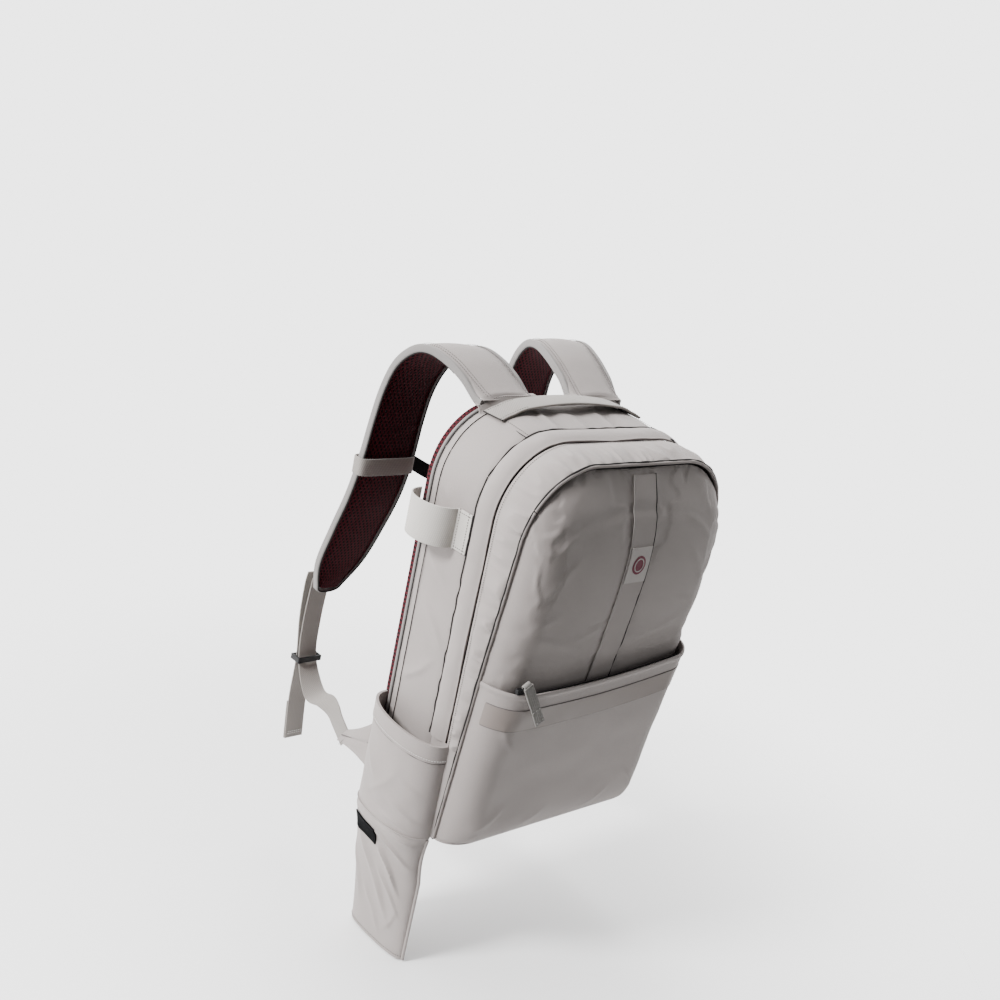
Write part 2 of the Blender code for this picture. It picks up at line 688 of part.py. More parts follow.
# ---- grab handle ---------------------------------------------------------------------------------
def make_handle(lift):
    reach = HANDLE_LENGTH / 2
    ground = top_height(HANDLE_DEPTH - HANDLE_WIDTH / 2) + GAP
    outer = []
    inner = []
    for x in spread(-reach, reach, 15):
        height = ground + HANDLE_RISE * math.cos(math.pi / 2 * x / reach) ** 0.8
        drop = max(ground - drop_at(x), 0.0)
        for grid, extra in ((outer, HANDLE_THICK), (inner, 0.0)):
            grid.append([place(x, HANDLE_DEPTH + side * HANDLE_WIDTH / 2, height - drop + extra)
                         for side in (-1, 1)])
    add_piece("grab_handle", grid_solid(outer, inner), WEBBING, lift)
    for label, sign in (("left", -1), ("right", 1)):
        start = reach + GAP
        tab = []
        for x in spread(start, start + HANDLE_TAB, 3):
            tab.append([place(sign * x, HANDLE_DEPTH + side * HANDLE_WIDTH / 2,
                              drop_at(x)) for side in (-1, 1)])
        upper = [[point + Vector((0, 0, HANDLE_THICK)) for point in row] for row in tab]
        add_piece("handle_tab_" + label, grid_solid(upper, tab), WEBBING)


def drop_at(x):
    """Height of the top just above its fabric, over the handle's ends too."""
    depth = HANDLE_DEPTH - HANDLE_WIDTH / 2
    across = max(abs(x) - (HALF - CORNER_RADIUS), 0.0)
    return top_height(depth) + GAP - CORNER_RADIUS + math.sqrt(CORNER_RADIUS ** 2 - across ** 2)


# ---- shoulder straps -----------------------------------------------------------------------------
def strap_root():
    return (STRAP_ROOT_X, -STRAP_ROOT_DEPTH, BODY_HEIGHT + STRAP_ROOT_RISE)


def strap_stations(sign, reach):
    """(centre, width, normal) along a strap; the normal points away from the wearer."""
    path = smooth_path(STRAP_LINE, STRAP_STEPS)
    root_x, root_y, root_height = strap_root()
    centres = [Vector((sign * (root_x + out), root_y + back * reach,
                       root_height + max(up, 0.0) * reach + min(up, 0.0) - BODY_HEIGHT / 2))
               for out, back, up, _ in path]
    stations = []
    for index, centre in enumerate(centres):
        ahead = centres[min(index + 1, len(centres) - 1)] - centres[max(index - 1, 0)]
        normal = Vector((0, -ahead.z, ahead.y)).normalized()
        stations.append((centre, path[index][3], normal))
    return stations


def ribbon(stations, low, high, inset, columns):
    """A band along stations between two heights on their normals, rounded off at its edges."""
    outer = []
    inner = []
    for centre, width, normal in stations:
        half = width / 2 - inset
        line_out = []
        line_in = []
        for share in spread(-1.0, 1.0, columns):
            across = centre + Vector((half * share, 0, 0))
            crown = 1 - 0.35 * abs(share) ** 4
            line_out.append(across + normal * (low + (high - low) * crown))
            line_in.append(across + normal * low)
        outer.append(line_out)
        inner.append(line_in)
    return grid_solid(outer, inner)


def webbing_band(points, width, thick, steps):
    """Flat webbing across X along a path of (x, y, z) points, thick along the path's normal."""
    path = [Vector(point) for point in smooth_path(points, steps)]
    stations = []
    for index, centre in enumerate(path):
        ahead = path[min(index + 1, len(path) - 1)] - path[max(index - 1, 0)]
        stations.append((centre, width, Vector((0, -ahead.z, ahead.y)).normalized()))
    outer = [[c + Vector((w / 2 * side, 0, 0)) + n * thick / 2 for side in (-1, 1)] for c, w, n in stations]
    inner = [[c + Vector((w / 2 * side, 0, 0)) - n * thick / 2 for side in (-1, 1)] for c, w, n in stations]
    return grid_solid(outer, inner)


def twisting_band(points, width, thick, steps):
    """Flat webbing whose width turns from one direction to another along its path."""
    flat = [(x, y, z, *side.normalized()) for x, y, z, side in points]
    path = smooth_path(flat, steps)
    outer = []
    inner = []
    for index, (x, y, z, *side) in enumerate(path):
        after = path[min(index + 1, len(path) - 1)]
        before = path[max(index - 1, 0)]
        ahead = Vector(after[:3]) - Vector(before[:3])
        across = Vector(side).normalized()
        normal = ahead.cross(across).normalized() * thick / 2
        centre = Vector((x, y, z))
        outer.append([centre + across * end * width / 2 + normal for end in (-1, 1)])
        inner.append([centre + across * end * width / 2 - normal for end in (-1, 1)])
    return grid_solid(outer, inner)


def wing_tip(sign):
    """The middle of the wing's sewn tip, where the webbing leaves it."""
    return Vector((sign * (HALF - WING_TIP_IN), WING_REACH, WING_TIP_HEIGHT - BODY_HEIGHT / 2))


def wing_edge():
    """Direction of the tip's edge, upwards."""
    lean = math.radians(WING_TIP_LEAN_DEG)
    return Vector((0, -math.sin(lean), math.cos(lean)))


def tilted_box(centre, size, normal, bevel):
    """A block whose Y faces look along a normal in the YZ plane."""
    turn = Matrix.Rotation(math.atan2(normal.z, normal.y), 4, "X")
    return block(centre, size, bevel, turn)


def make_strap(label, sign, reach, swing):
    stations = strap_stations(sign, reach)
    pad = ribbon(stations, 0.0, STRAP_THICK, 0.0, 5)
    add_piece("strap_pad_" + label, pad, FABRIC, swing)
    mesh = ribbon(stations[MESH_START:], -GAP - MESH_THICK, -GAP, MESH_INSET, 3)
    add_piece("strap_mesh_" + label, mesh, AIR_MESH, swing)
    return stations


def lock_place(stations):
    """(centre, direction down the strap, normal) of the ladder lock near the pad's end."""
    end, _, normal = stations[LOCK_STATION]
    along = (end - stations[LOCK_STATION - 1][0]).normalized()
    return end + normal * (STRAP_THICK + LADDER_THICK / 2 + 3 * GAP), along, normal


def lock_pivot(stations):
    """The lower inner edge of the ladder lock, which it tips on when the webbing is loosened."""
    centre, along, normal = lock_place(stations)
    return centre + along * LADDER_HEIGHT / 2 - normal * LADDER_THICK / 2


def make_adjuster(label, sign, stations, swing, tilt, slide):
    """Ladder lock on the pad's end, webbing down to the wing, the loose tail and the keeper."""
    x = sign * (HALF - WEBBING_IN)
    lock_centre, along, normal = lock_place(stations)
    lock = add_piece("ladder_lock_" + label,
                     tilted_box(lock_centre, (LADDER_WIDTH, LADDER_THICK, LADDER_HEIGHT), normal, 0.001),
                     PLASTIC, tilt)
    slot_size = (WEBBING_WIDTH + 4 * GAP, LADDER_THICK * 3, LADDER_SLOT)
    for index, side in enumerate((-1, 1)):
        offset = along * side * LADDER_HEIGHT / 5
        cut(lock, tilted_box(lock_centre + offset, slot_size, normal, 0.0), f"slot_{label}_{index}")
    back = stations[-1][0].y + STRAP_THICK / 2 + WEBBING_START
    fall = stations[-1][0].z - GAP * 3
    tip = wing_tip(sign) + wing_edge().cross(Vector((1, 0, 0))) * 3 * GAP
    across = Vector((1, 0, 0))
    load = [(x, back, fall, across),
            (x, back + WEBBING_BACK, fall - KEEPER_DROP / 2, across),
            (x, back, fall - KEEPER_DROP, across)]
    for share, up, turn in LOAD_TURN:
        load.append((tip.x + (x - tip.x) * share, tip.y + (back - tip.y) * share, tip.z + up,
                     across * (1 - turn) + wing_edge() * turn))
    load.append((tip.x, tip.y, tip.z, wing_edge()))
    add_piece("adjuster_webbing_" + label, twisting_band(load, WEBBING_WIDTH, WEBBING_THICK, 4), WEBBING,
              swing)
    tail = [(x, back + TAIL_START, fall),
            (x, back + TAIL_START, fall - KEEPER_DROP / 2),
            (x, back + TAIL_AT_KEEPER, fall - KEEPER_DROP),
            (x, back + TAIL_START - TAIL_FORWARD / 2, fall - (KEEPER_DROP + TAIL_LENGTH) / 2),
            (x, back + TAIL_START - TAIL_FORWARD, fall - TAIL_LENGTH)]
    add_piece("webbing_tail_" + label, webbing_band(tail, WEBBING_WIDTH, WEBBING_THICK, 3), WEBBING, swing)
    middle = Vector((x, back + TAIL_AT_KEEPER / 2, fall - KEEPER_DROP))
    keeper = block(middle, (WEBBING_WIDTH + 2 * (KEEPER_WALL + 4 * GAP), KEEPER_DEPTH, KEEPER_HEIGHT),
                   0.0008)
    loop = add_piece("webbing_keeper_" + label, keeper, PLASTIC, slide)
    inside = (WEBBING_WIDTH + 8 * GAP, KEEPER_DEPTH - 2 * KEEPER_WALL, KEEPER_HEIGHT * 2)
    cut(loop, block(middle, inside, 0.0), "keeper_hole_" + label)


def make_wing(label, sign):
    """Triangle of fabric sewn in beside the back pad's lower edge, which anchors the webbing."""
    edge = wing_edge() * WEBBING_WIDTH / 2
    tip = wing_tip(sign)
    root_x = sign * (HALF - WING_ROOT_IN)
    root_y = GAP - BACK_PAD
    ground = -BODY_HEIGHT / 2
    face = [Vector((root_x, root_y, FOOT_RADIUS + ground)), tip - edge, tip + edge,
            Vector((root_x, root_y, WING_ROOT_HEIGHT + ground))]
    half = Vector((WING_THICK / 2, 0, 0))
    add_piece("strap_wing_" + label, prism([point - half for point in face], 2 * half), FABRIC)


# ---- sternum strap -------------------------------------------------------------------------------
def strap_at(stations, height):
    """The station of a strap's hanging part nearest to a height."""
    hanging = [station for station in stations if station[2].y > 0.9 * station[2].length]
    return min(hanging, key=lambda station: abs(station[0].z - height))


def make_sternum_loop(label, station, height, travel):
    centre, width, normal = station
    thick = STRAP_THICK + MESH_THICK + GAP
    middle = Vector((centre.x, centre.y, height)) + normal * (STRAP_THICK - MESH_THICK - GAP) / 2
    hole = (width + 2 * STERNUM_CLEAR, thick + 3 * STERNUM_CLEAR, STERNUM_WIDTH * 2)
    size = (hole[0] + 2 * STERNUM_LOOP_THICK, hole[1] + 2 * STERNUM_LOOP_THICK, STERNUM_WIDTH)
    loop = add_piece("sternum_loop_" + label, block(middle, size, 0.0), WEBBING, travel)
    cut(loop, block(middle, hole, 0.0), "sternum_hole_" + label)
    return middle, size


def flat_run(start, end, sag, width, thick, steps):
    """Webbing on edge, its width upright, that sags between two points."""
    outer = []
    inner = []
    for share in spread(0.0, 1.0, steps):
        point = start.lerp(end, share) - Vector((0, 0, 4 * sag * share * (1 - share)))
        outer.append([point + Vector((0, thick / 2, side * width / 2)) for side in (-1, 1)])
        inner.append([point + Vector((0, -thick / 2, side * width / 2)) for side in (-1, 1)])
    return grid_solid(outer, inner)


def make_sternum(left, right, travel_left, travel_right):
    height = BODY_HEIGHT / 2 + STRAP_ROOT_RISE - STERNUM_DROP
    loop_left, size_left = make_sternum_loop("left", strap_at(left, height), height, travel_left)
    loop_right, size_right = make_sternum_loop("right", strap_at(right, height), height, travel_right)
    start = Vector((loop_left.x + size_left[0] / 2 + GAP, loop_left.y, height))
    end = Vector((loop_right.x - size_right[0] / 2 - GAP, loop_right.y, height))
    middle = start.lerp(end, 0.5) - Vector((0, 0, STERNUM_SAG))
    joint_line = Vector((BUCKLE_LENGTH / 2, 0, 0))
    socket_start = middle - joint_line
    plug_end = middle + joint_line
    step = Vector((GAP, 0, 0))
    sag = STERNUM_SAG / 6
    band = (STERNUM_WIDTH * 0.9, WEBBING_THICK, 8)
    add_piece("sternum_elastic", flat_run(start, socket_start - step, sag, *band), FASTENER, travel_left)
    add_piece("sternum_webbing", flat_run(plug_end + step, end, sag, *band), WEBBING, travel_right)
    half = BUCKLE_LENGTH / 2 - GAP
    socket = block(middle - Vector((half / 2 + GAP, 0, 0)), (half, BUCKLE_THICK, BUCKLE_WIDTH), 0.002)
    plug = block(middle + Vector((half / 2 + GAP, 0, 0)), (half, BUCKLE_THICK * 0.8, BUCKLE_WIDTH * 0.9),
                 0.002)
    add_piece("sternum_buckle_socket", socket, PLASTIC, travel_left)
    add_piece("sternum_buckle_plug", plug, PLASTIC, travel_right)
    hang = plug_end + Vector((0.004, BUCKLE_THICK, 0))
    tail = [(hang.x + STERNUM_WIDTH / 2, hang.y, hang.z + BUCKLE_WIDTH / 4),
            (hang.x + STERNUM_WIDTH / 2, hang.y + 0.002, hang.z - STERNUM_TAIL / 2),
            (hang.x + STERNUM_WIDTH / 2, hang.y, hang.z - STERNUM_TAIL)]
    add_piece("sternum_tail", webbing_band(tail, STERNUM_WIDTH * 0.9, WEBBING_THICK, 3), WEBBING,
              travel_right)


# ---- sliders and pulls ---------------------------------------------------------------------------
def corner_frame(angle, depth, out):
    """(point, outward, along) on the right corner arc, a distance outside its outline."""
    turn = math.radians(angle)
    outward = Vector((math.cos(turn), 0, math.sin(turn)))
    centre = place(HALF - CORNER_RADIUS, depth, top_height(depth) - CORNER_RADIUS)
    along = Vector((-math.sin(turn), 0, math.cos(turn)))
    return centre + outward * (CORNER_RADIUS + out), outward, along


def pull_place(angle, way):
    """(pivot, outward, direction) of a main pull, which lies round the arch past its slider's middle."""
    pivot, outward, along = corner_frame(angle, PULL_DEPTH, PULL_THICK / 2 - PULL_SINK)
    return pivot, outward, along * way


def make_main_slider(label, angle, way, slide, swing):
    """A slider on the teeth under the flap's edge, and its pull in the slot before the gusset."""
    point, outward, along = corner_frame(angle, ZIP_LINE, -(MAIN_SLIDER_SINK + MAIN_SLIDER_HEIGHT / 2))
    turn = Matrix((along, Vector((0, -1, 0)), outward)).transposed().to_4x4()
    add_piece("main_slider_" + label,
              block(point, (SLIDER_LENGTH, SLIDER_WIDTH, MAIN_SLIDER_HEIGHT), 0.0004, turn), PLASTIC, slide)
    pivot, outward, away = pull_place(angle, way)
    centre = pivot + away * PULL_LENGTH / 2
    add_piece("main_pull_" + label,
              block(centre, (PULL_LENGTH, PULL_WIDTH, PULL_THICK), 0.0004, turn), PLASTIC, swing)


def pocket_slider_point():
    """Middle of the parked slider: on the pocket's edge, in the mouth and clear of the centre strip."""
    height = pocket_line(0.0)(POCKET_SLIDER_X) + GAP + POCKET_SLIDER_TALL / 2
    halfway = height - POCKET_EDGE_SLOPE * POCKET_SLIDER_X + POCKET_SLIDER_TALL / 2
    depth = front_depth(0.0, halfway) + 4 * GAP + TAPE + POCKET_SLIDER_DEEP / 2
    return place(POCKET_SLIDER_X, depth, height)


def pocket_pull_point():
    """The pull's loop, in front of the pocket wall."""
    point = pocket_slider_point()
    highest = pocket_line(0.0)(-POCKET_SLIDER_X)
    depth = front_depth(0.0, highest) + on_pocket(0.0, highest) + TAPE + POCKET_PULL_THICK / 2
    return Vector((point.x, -depth, point.z + POCKET_PULL_RISE))


def make_pocket_slider(slide, swing):
    point = pocket_slider_point()
    add_piece("pocket_slider",
              block(point, (SLIDER_LENGTH, POCKET_SLIDER_DEEP, POCKET_SLIDER_TALL), 0.0008), PLASTIC, slide)
    turn = Matrix.Rotation(math.radians(-POCKET_PULL_TILT_DEG), 4, "Y")
    down = turn @ Vector((0, 0, -1))
    centre = pocket_pull_point() + down * (POCKET_PULL_LENGTH / 2 - POCKET_PULL_WIDTH / 2)
    add_piece("pocket_pull",
              block(centre, (POCKET_PULL_WIDTH, POCKET_PULL_THICK, POCKET_PULL_LENGTH), 0.0006, turn),
              WEBBING, swing)


# ---- assembly ------------------------------------------------------------------------------------
def main():
    make_back()
    make_walls()
    make_zip()
    door = joint_frame("front_door_axis", place(0, HINGE_DEPTH, ZIP_END))
    make_front(door)
    make_stick_side()
    sleeve_out = HALF + GAP + STICK_BULGE + SLEEVE_PIVOT_OUT
    make_sleeve(joint_frame("drop_sleeve_axis", place(-sleeve_out, SLEEVE_TOP_BACK, -GAP)))
    make_handle(joint_frame("grab_handle_axis", place(0, HANDLE_DEPTH, BODY_HEIGHT)))
    root = strap_root()
    straps = {}
    for label, sign, reach in (("left", -1, STRAP_REACH_LEFT), ("right", 1, STRAP_REACH_RIGHT)):
        hinge = Vector((sign * root[0], root[1], root[2] - BODY_HEIGHT / 2))
        swing = joint_frame("strap_axis_" + label, hinge)
        straps[label] = make_strap(label, sign, reach, swing)
        tilt = joint_frame("ladder_axis_" + label, lock_pivot(straps[label]))
        slide = joint_frame("keeper_axis_" + label, straps[label][-1][0])
        make_adjuster(label, sign, straps[label], swing, tilt, slide)
        make_wing(label, sign)
    travel_left = joint_frame("sternum_axis_left", Vector(straps["left"][0][0]))
    travel_right = joint_frame("sternum_axis_right", Vector(straps["right"][0][0]))
    make_sternum(straps["left"], straps["right"], travel_left, travel_right)
    corner = place(HALF - CORNER_RADIUS, ZIP_LINE, top_height(ZIP_LINE) - CORNER_RADIUS)
    for label, angle, way in (("upper", SLIDER_ANGLE_UPPER, 1), ("lower", SLIDER_ANGLE_LOWER, -1)):
        slide = joint_frame("main_slider_axis_" + label, corner)
        pivot, _, _ = pull_place(angle, way)
        swing = joint_frame("main_pull_axis_" + label, pivot)
        make_main_slider(label, angle, way, slide, swing)
    make_pocket_slider(joint_frame("pocket_slider_axis", pocket_slider_point()),
                       joint_frame("pocket_pull_axis", pocket_pull_point()))


main()
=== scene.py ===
"""Looks of the stick and racket backpack: sewn fabric, spacer mesh, webbing, zips and small fittings.

Everything is in metres in the part's frame: +Z up, the wearer on the +Y side, the front on the -Y side.
Heights are measured up from the base and depths forward from the back pad, as in the part's own drawing.
"""
import itertools
import json
import math

import bmesh
import bpy
import numpy as np
from mathutils import Matrix, Vector


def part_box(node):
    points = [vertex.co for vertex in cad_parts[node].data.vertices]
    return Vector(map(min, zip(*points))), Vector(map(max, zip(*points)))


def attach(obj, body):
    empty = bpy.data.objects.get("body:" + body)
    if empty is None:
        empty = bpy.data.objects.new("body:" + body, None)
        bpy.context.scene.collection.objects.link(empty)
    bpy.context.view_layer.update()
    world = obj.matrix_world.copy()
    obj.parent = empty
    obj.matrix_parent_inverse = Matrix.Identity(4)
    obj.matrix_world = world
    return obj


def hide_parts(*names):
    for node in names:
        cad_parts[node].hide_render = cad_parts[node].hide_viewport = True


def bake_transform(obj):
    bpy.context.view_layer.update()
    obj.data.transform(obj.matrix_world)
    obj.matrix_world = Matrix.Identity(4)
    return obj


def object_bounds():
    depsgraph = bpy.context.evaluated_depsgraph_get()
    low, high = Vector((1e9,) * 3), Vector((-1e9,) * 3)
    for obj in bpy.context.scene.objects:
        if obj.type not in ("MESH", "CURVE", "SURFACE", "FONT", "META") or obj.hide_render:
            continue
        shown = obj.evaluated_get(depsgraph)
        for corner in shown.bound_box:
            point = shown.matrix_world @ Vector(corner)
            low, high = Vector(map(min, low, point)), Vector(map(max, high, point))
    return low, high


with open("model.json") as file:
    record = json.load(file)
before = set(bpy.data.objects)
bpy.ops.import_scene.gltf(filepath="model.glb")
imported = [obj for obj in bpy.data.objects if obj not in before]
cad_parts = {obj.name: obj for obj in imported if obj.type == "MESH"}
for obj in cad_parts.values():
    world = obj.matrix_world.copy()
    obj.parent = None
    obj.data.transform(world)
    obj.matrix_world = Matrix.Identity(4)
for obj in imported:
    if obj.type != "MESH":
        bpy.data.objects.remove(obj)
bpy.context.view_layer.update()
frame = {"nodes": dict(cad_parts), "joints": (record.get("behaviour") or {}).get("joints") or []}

# ---- sizes taken from the frame ------------------------------------------------------------------
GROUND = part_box("base_panel")[0].z
HEIGHT = -2 * GROUND
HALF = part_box("back_wall")[1].x
FULL = -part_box("front_panel")[0].y
SEAM_OUT = -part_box("side_panel_left")[0].y       # depth of the flap's seam
FLAP_EDGE = -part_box("storm_flap")[0].y
GUSSET_START = -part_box("door_gusset")[1].y
ZIP_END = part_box("door_gusset")[0].z - GROUND
LOOP_LOW, LOOP_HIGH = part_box("stick_loop")
SLEEVE_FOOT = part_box("drop_sleeve")[0].z - GROUND
HANDLE_LOW, HANDLE_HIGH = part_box("grab_handle")
BACK_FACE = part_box("back_pad")[1].y
PAD_DEPTH = -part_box("back_pad")[0].y
ZIP_LINE = -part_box("zip_tape_body")[0].y
CREASE = GROUND + ZIP_END                        # level of the crease that the front opens on

# ---- sizes of the sewn shapes --------------------------------------------------------------------
TOP_DROP = 0.019
CORNER = 0.080
FLAT = HALF - CORNER
SEAM_LINE = ((0.0, 0.125), (0.25, 0.134), (0.50, 0.143), (0.75, 0.154), (1.0, 0.163))
FRONT_LINE = ((0.0, 0.146), (0.25, 0.158), (0.42, 0.1690), (0.48, 0.1735), (0.72, 0.185),
              (0.84, 0.184), (1.0, 0.166))
EDGE_ROUND = 0.034
CROWN_ROUND = 0.050
SEAM_INSET = 0.0028
POCKET_TOP = 0.208
POCKET_SAG = 0.008
POCKET_SLOPE = 0.050
POCKET_SPACE = 0.0105
POCKET_FOOT_ROUND = 0.030
WALL = 0.0022
FLAP_LAP = 0.0040           # how far the flap's soft edge lies over the zip
LIGHT_CLOTH = 0.0014
PANEL_CLOTH = 0.0016
THIN_CLOTH = 0.0006
LABEL_CLOTH = 0.0009
CLOTH = 0.0004              # how far one layer lies above the next
STRIP_HALF = 0.0165
LABEL_LOW, LABEL_HIGH = 0.313, 0.353
HIP_PAD_TOP = 0.105
BACK_CHANNEL = 0.030        # from the back's middle to each channel
CORE = np.array((0.0, -0.09, 0.0))
SIGN = {"left": -1, "right": 1}


# ---- small tools ---------------------------------------------------------------------------------
def points(x, y, z):
    """Points from three coordinates, each a number or an array."""
    return np.stack(np.broadcast_arrays(x, y, z), axis=-1).astype(float)


def at(x, depth, height):
    """Points of the frame from distances across, forward of the back and above the base."""
    return points(x, -1 * depth, height + GROUND)


def spread(x, height):
    """Points of the flattened front, for noise that follows the cloth."""
    return points(x, 0.0, height)


def level(height):
    """A line of constant height across the front."""
    return lambda x: height + 0 * x


def lengths_along(path):
    return np.concatenate(((0.0,), np.cumsum(np.linalg.norm(np.diff(path, axis=0), axis=-1))))


def evened(path, values, count):
    """Values given along a path, taken again at even distances."""
    way = lengths_along(path)
    even = np.linspace(0, way[-1], count)
    return np.stack([np.interp(even, way, column) for column in values.T], axis=-1)


def unit(vectors):
    return vectors / np.maximum(np.linalg.norm(vectors, axis=-1, keepdims=True), 1e-12)


def smooth(low, high, value):
    t = np.clip((value - low) / (high - low), 0, 1)
    return t * t * (3 - 2 * t)


def dip(distance, width):
    """1 on a line and 0 away from it."""
    return np.exp(-(distance / width) ** 2)


def lattice(cells, seed):
    return np.abs(np.modf(np.sin(cells @ np.array((12.9898, 78.233, 37.719)) + seed * 4.137) * 43758.5453)[0])


def noise(points, size, seed=0):
    """Smooth noise from -1 to 1 whose features have a size, one number or one for each axis."""
    scaled = np.asarray(points, float) / size
    cell = np.floor(scaled)
    part = scaled - cell
    part = part * part * (3 - 2 * part)
    total = np.zeros(scaled.shape[:-1])
    for corner in itertools.product((0, 1), repeat=3):
        weight = np.prod(np.where(np.array(corner) == 1, part, 1 - part), axis=-1)
        total += weight * lattice(cell + np.array(corner), seed)
    return total * 2 - 1


def crumple(points, seed, height):
    """Soft unevenness of lined cloth."""
    return height * (0.6 * noise(points, 0.085, seed) + 0.3 * noise(points, 0.034, seed + 1)
                     + 0.1 * noise(points, 0.014, seed + 2))


def creases(across, up, lines):
    """Ridges of cloth along (start, end, width, height) lines, sharper above than below."""
    total = np.zeros(np.broadcast(across, up).shape)
    for (x, y), (x_end, y_end), width, height in lines:
        length = math.hypot(x_end - x, y_end - y)
        way = np.array((x_end - x, y_end - y)) / length
        along = ((across - x) * way[0] + (up - y) * way[1]) / length
        off = -(across - x) * way[1] + (up - y) * way[0]
        off = off + 0.05 * length * np.sin(math.pi * np.clip(along, 0, 1)) ** 2
        profile = np.exp(-np.abs(off / (width * np.where(off > 0, 1.0, 0.45))) ** 1.5)
        ends = smooth(-0.12, 0.25, along) * smooth(1.12, 0.6, along)
        total += height * profile * ends
    return total


def curve_value(points, position):
    """A smooth line through (position, value) points."""
    xs, ys = np.array(points).T
    slopes = np.empty_like(ys)
    slopes[1:-1] = (ys[2:] - ys[:-2]) / (xs[2:] - xs[:-2])
    slopes[0] = (ys[1] - ys[0]) / (xs[1] - xs[0])
    slopes[-1] = (ys[-1] - ys[-2]) / (xs[-1] - xs[-2])
    position = np.clip(position, xs[0], xs[-1])
    i = np.clip(np.searchsorted(xs, position) - 1, 0, len(xs) - 2)
    span = xs[i + 1] - xs[i]
    t = (position - xs[i]) / span
    return ((2 * t ** 3 - 3 * t ** 2 + 1) * ys[i] + (t ** 3 - 2 * t ** 2 + t) * span * slopes[i]
            + (3 * t ** 2 - 2 * t ** 3) * ys[i + 1] + (t ** 3 - t ** 2) * span * slopes[i + 1])


def smooth_path(points, steps):
    """Points of any dimension along a Catmull-Rom curve through the given ones."""
    given = np.array(points, float)
    padded = np.vstack((given[:1], given, given[-1:]))
    path = []
    for p, q, r, s in zip(padded, padded[1:], padded[2:], padded[3:]):
        for t in np.arange(steps) / steps:
            path.append(0.5 * (2 * q + (r - p) * t + (2 * p - 5 * q + 4 * r - s) * t ** 2
                               + (3 * q - p - 3 * r + s) * t ** 3))
    path.append(given[-1])
    return np.array(path)


def rise(t):
    """A quarter round that starts steep at 0 and is level at 1 and beyond."""
    t = np.clip(t, 0, 1)
    return np.sqrt(1 - (1 - t) ** 2)


# ---- the bag's surfaces --------------------------------------------------------------------------
def top_height(depth):
    return HEIGHT - TOP_DROP * (np.maximum(depth, 0) / FULL) ** 1.4


def arch_reach(foot):
    """Half the way round the arch, from the top's middle down to a foot height."""
    return FLAT + CORNER * math.pi / 2 + HEIGHT - TOP_DROP - CORNER - foot


def arch(run, depth, out=0.0, foot=0.0):
    """Points on the arch: run is the way round it from the top's middle, negative on the left."""
    run, depth = np.broadcast_arrays(np.asarray(run, float), depth)
    way = np.abs(run)
    angle = np.clip((way - FLAT) / CORNER, 0, math.pi / 2)
    down = np.maximum(way - FLAT - CORNER * math.pi / 2, 0)
    radius = CORNER + out
    top = top_height(depth) - CORNER
    stretch = (top - foot) / (HEIGHT - TOP_DROP - CORNER - foot)
    x = np.minimum(way, FLAT) + radius * np.sin(angle)
    height = top + radius * np.cos(angle) - down * stretch
    return at(np.where(run < 0, -x, x), depth, height)


def seam_depth(height):
    return curve_value(SEAM_LINE, height / (HEIGHT - TOP_DROP))


def half_width(height):
    """Half the front's width at a height, inside its seam."""
    radius = CORNER - SEAM_INSET
    above = np.clip(height - (HEIGHT - TOP_DROP - CORNER), 0, radius)
    return HALF - CORNER + np.sqrt(radius ** 2 - above ** 2)


def front_depth(x, height):
    """Depth of the front panel's face."""
    top = HEIGHT - TOP_DROP - SEAM_INSET
    share = height / (HEIGHT - TOP_DROP)
    seam = curve_value(SEAM_LINE, share) - SEAM_INSET
    side = half_width(height) - np.abs(x)
    bulge = rise(side / EDGE_ROUND) * rise((top - height) / CROWN_ROUND)
    return seam + (curve_value(FRONT_LINE, share) - seam) * bulge


def pocket_depth(x, height):
    """Depth of the pocket wall's inner face."""
    side = half_width(height) - np.abs(x)
    foot = rise(height / POCKET_FOOT_ROUND)
    return front_depth(x, height) + CLOTH + POCKET_SPACE * rise(side / EDGE_ROUND) * foot


def pocket_line(x, drop=0.0):
    """Height of a line a distance below the pocket's edge."""
    return POCKET_TOP + POCKET_SLOPE * x - POCKET_SAG * (1 - (x / HALF) ** 2) - drop


# ---- meshes --------------------------------------------------------------------------------------
def face_out(mesh):
    bm = bmesh.new()
    bm.from_mesh(mesh)
    bmesh.ops.recalc_face_normals(bm, faces=bm.faces)
    bm.to_mesh(mesh)
    bm.free()


def make_piece(name, places, faces, cloth_uv, material, sharp=50):
    """A mesh object whose UV map holds distances along the cloth in metres."""
    mesh = bpy.data.meshes.new(name)
    mesh.from_pydata(np.asarray(places, float).tolist(), [], faces)
    corners = np.empty(len(mesh.loops), np.int32)
    mesh.loops.foreach_get("vertex_index", corners)
    layer = mesh.uv_layers.new(name="cloth")
    layer.data.foreach_set("uv", np.asarray(cloth_uv, np.float32)[corners].ravel())
    face_out(mesh)
    mesh.shade_smooth()
    mesh.set_sharp_from_angle(angle=math.radians(sharp))
    mesh.materials.append(material)
    piece = bpy.data.objects.new(name, mesh)
    bpy.context.scene.collection.objects.link(piece)
    return piece


def distances(grid, axis):
    """Distance along a grid's rows or columns, measured on its middle line."""
    middle = np.take(grid, grid.shape[1 - axis] // 2, axis=1 - axis)
    line = lengths_along(middle)
    return line[:, None] if axis == 0 else line[None, :]


def normals(grid, core=CORE):
    """Unit normals of a grid that point away from a point inside."""
    found = unit(np.cross(np.gradient(grid, axis=0), np.gradient(grid, axis=1)))
    if np.mean(np.sum(found * (grid - core), axis=-1)) < 0:
        found = -found
    return found


def raised(grid, amount, core=CORE):
    """The grid moved outwards along its normals."""
    return grid + normals(grid, core) * np.asarray(amount)[..., None]


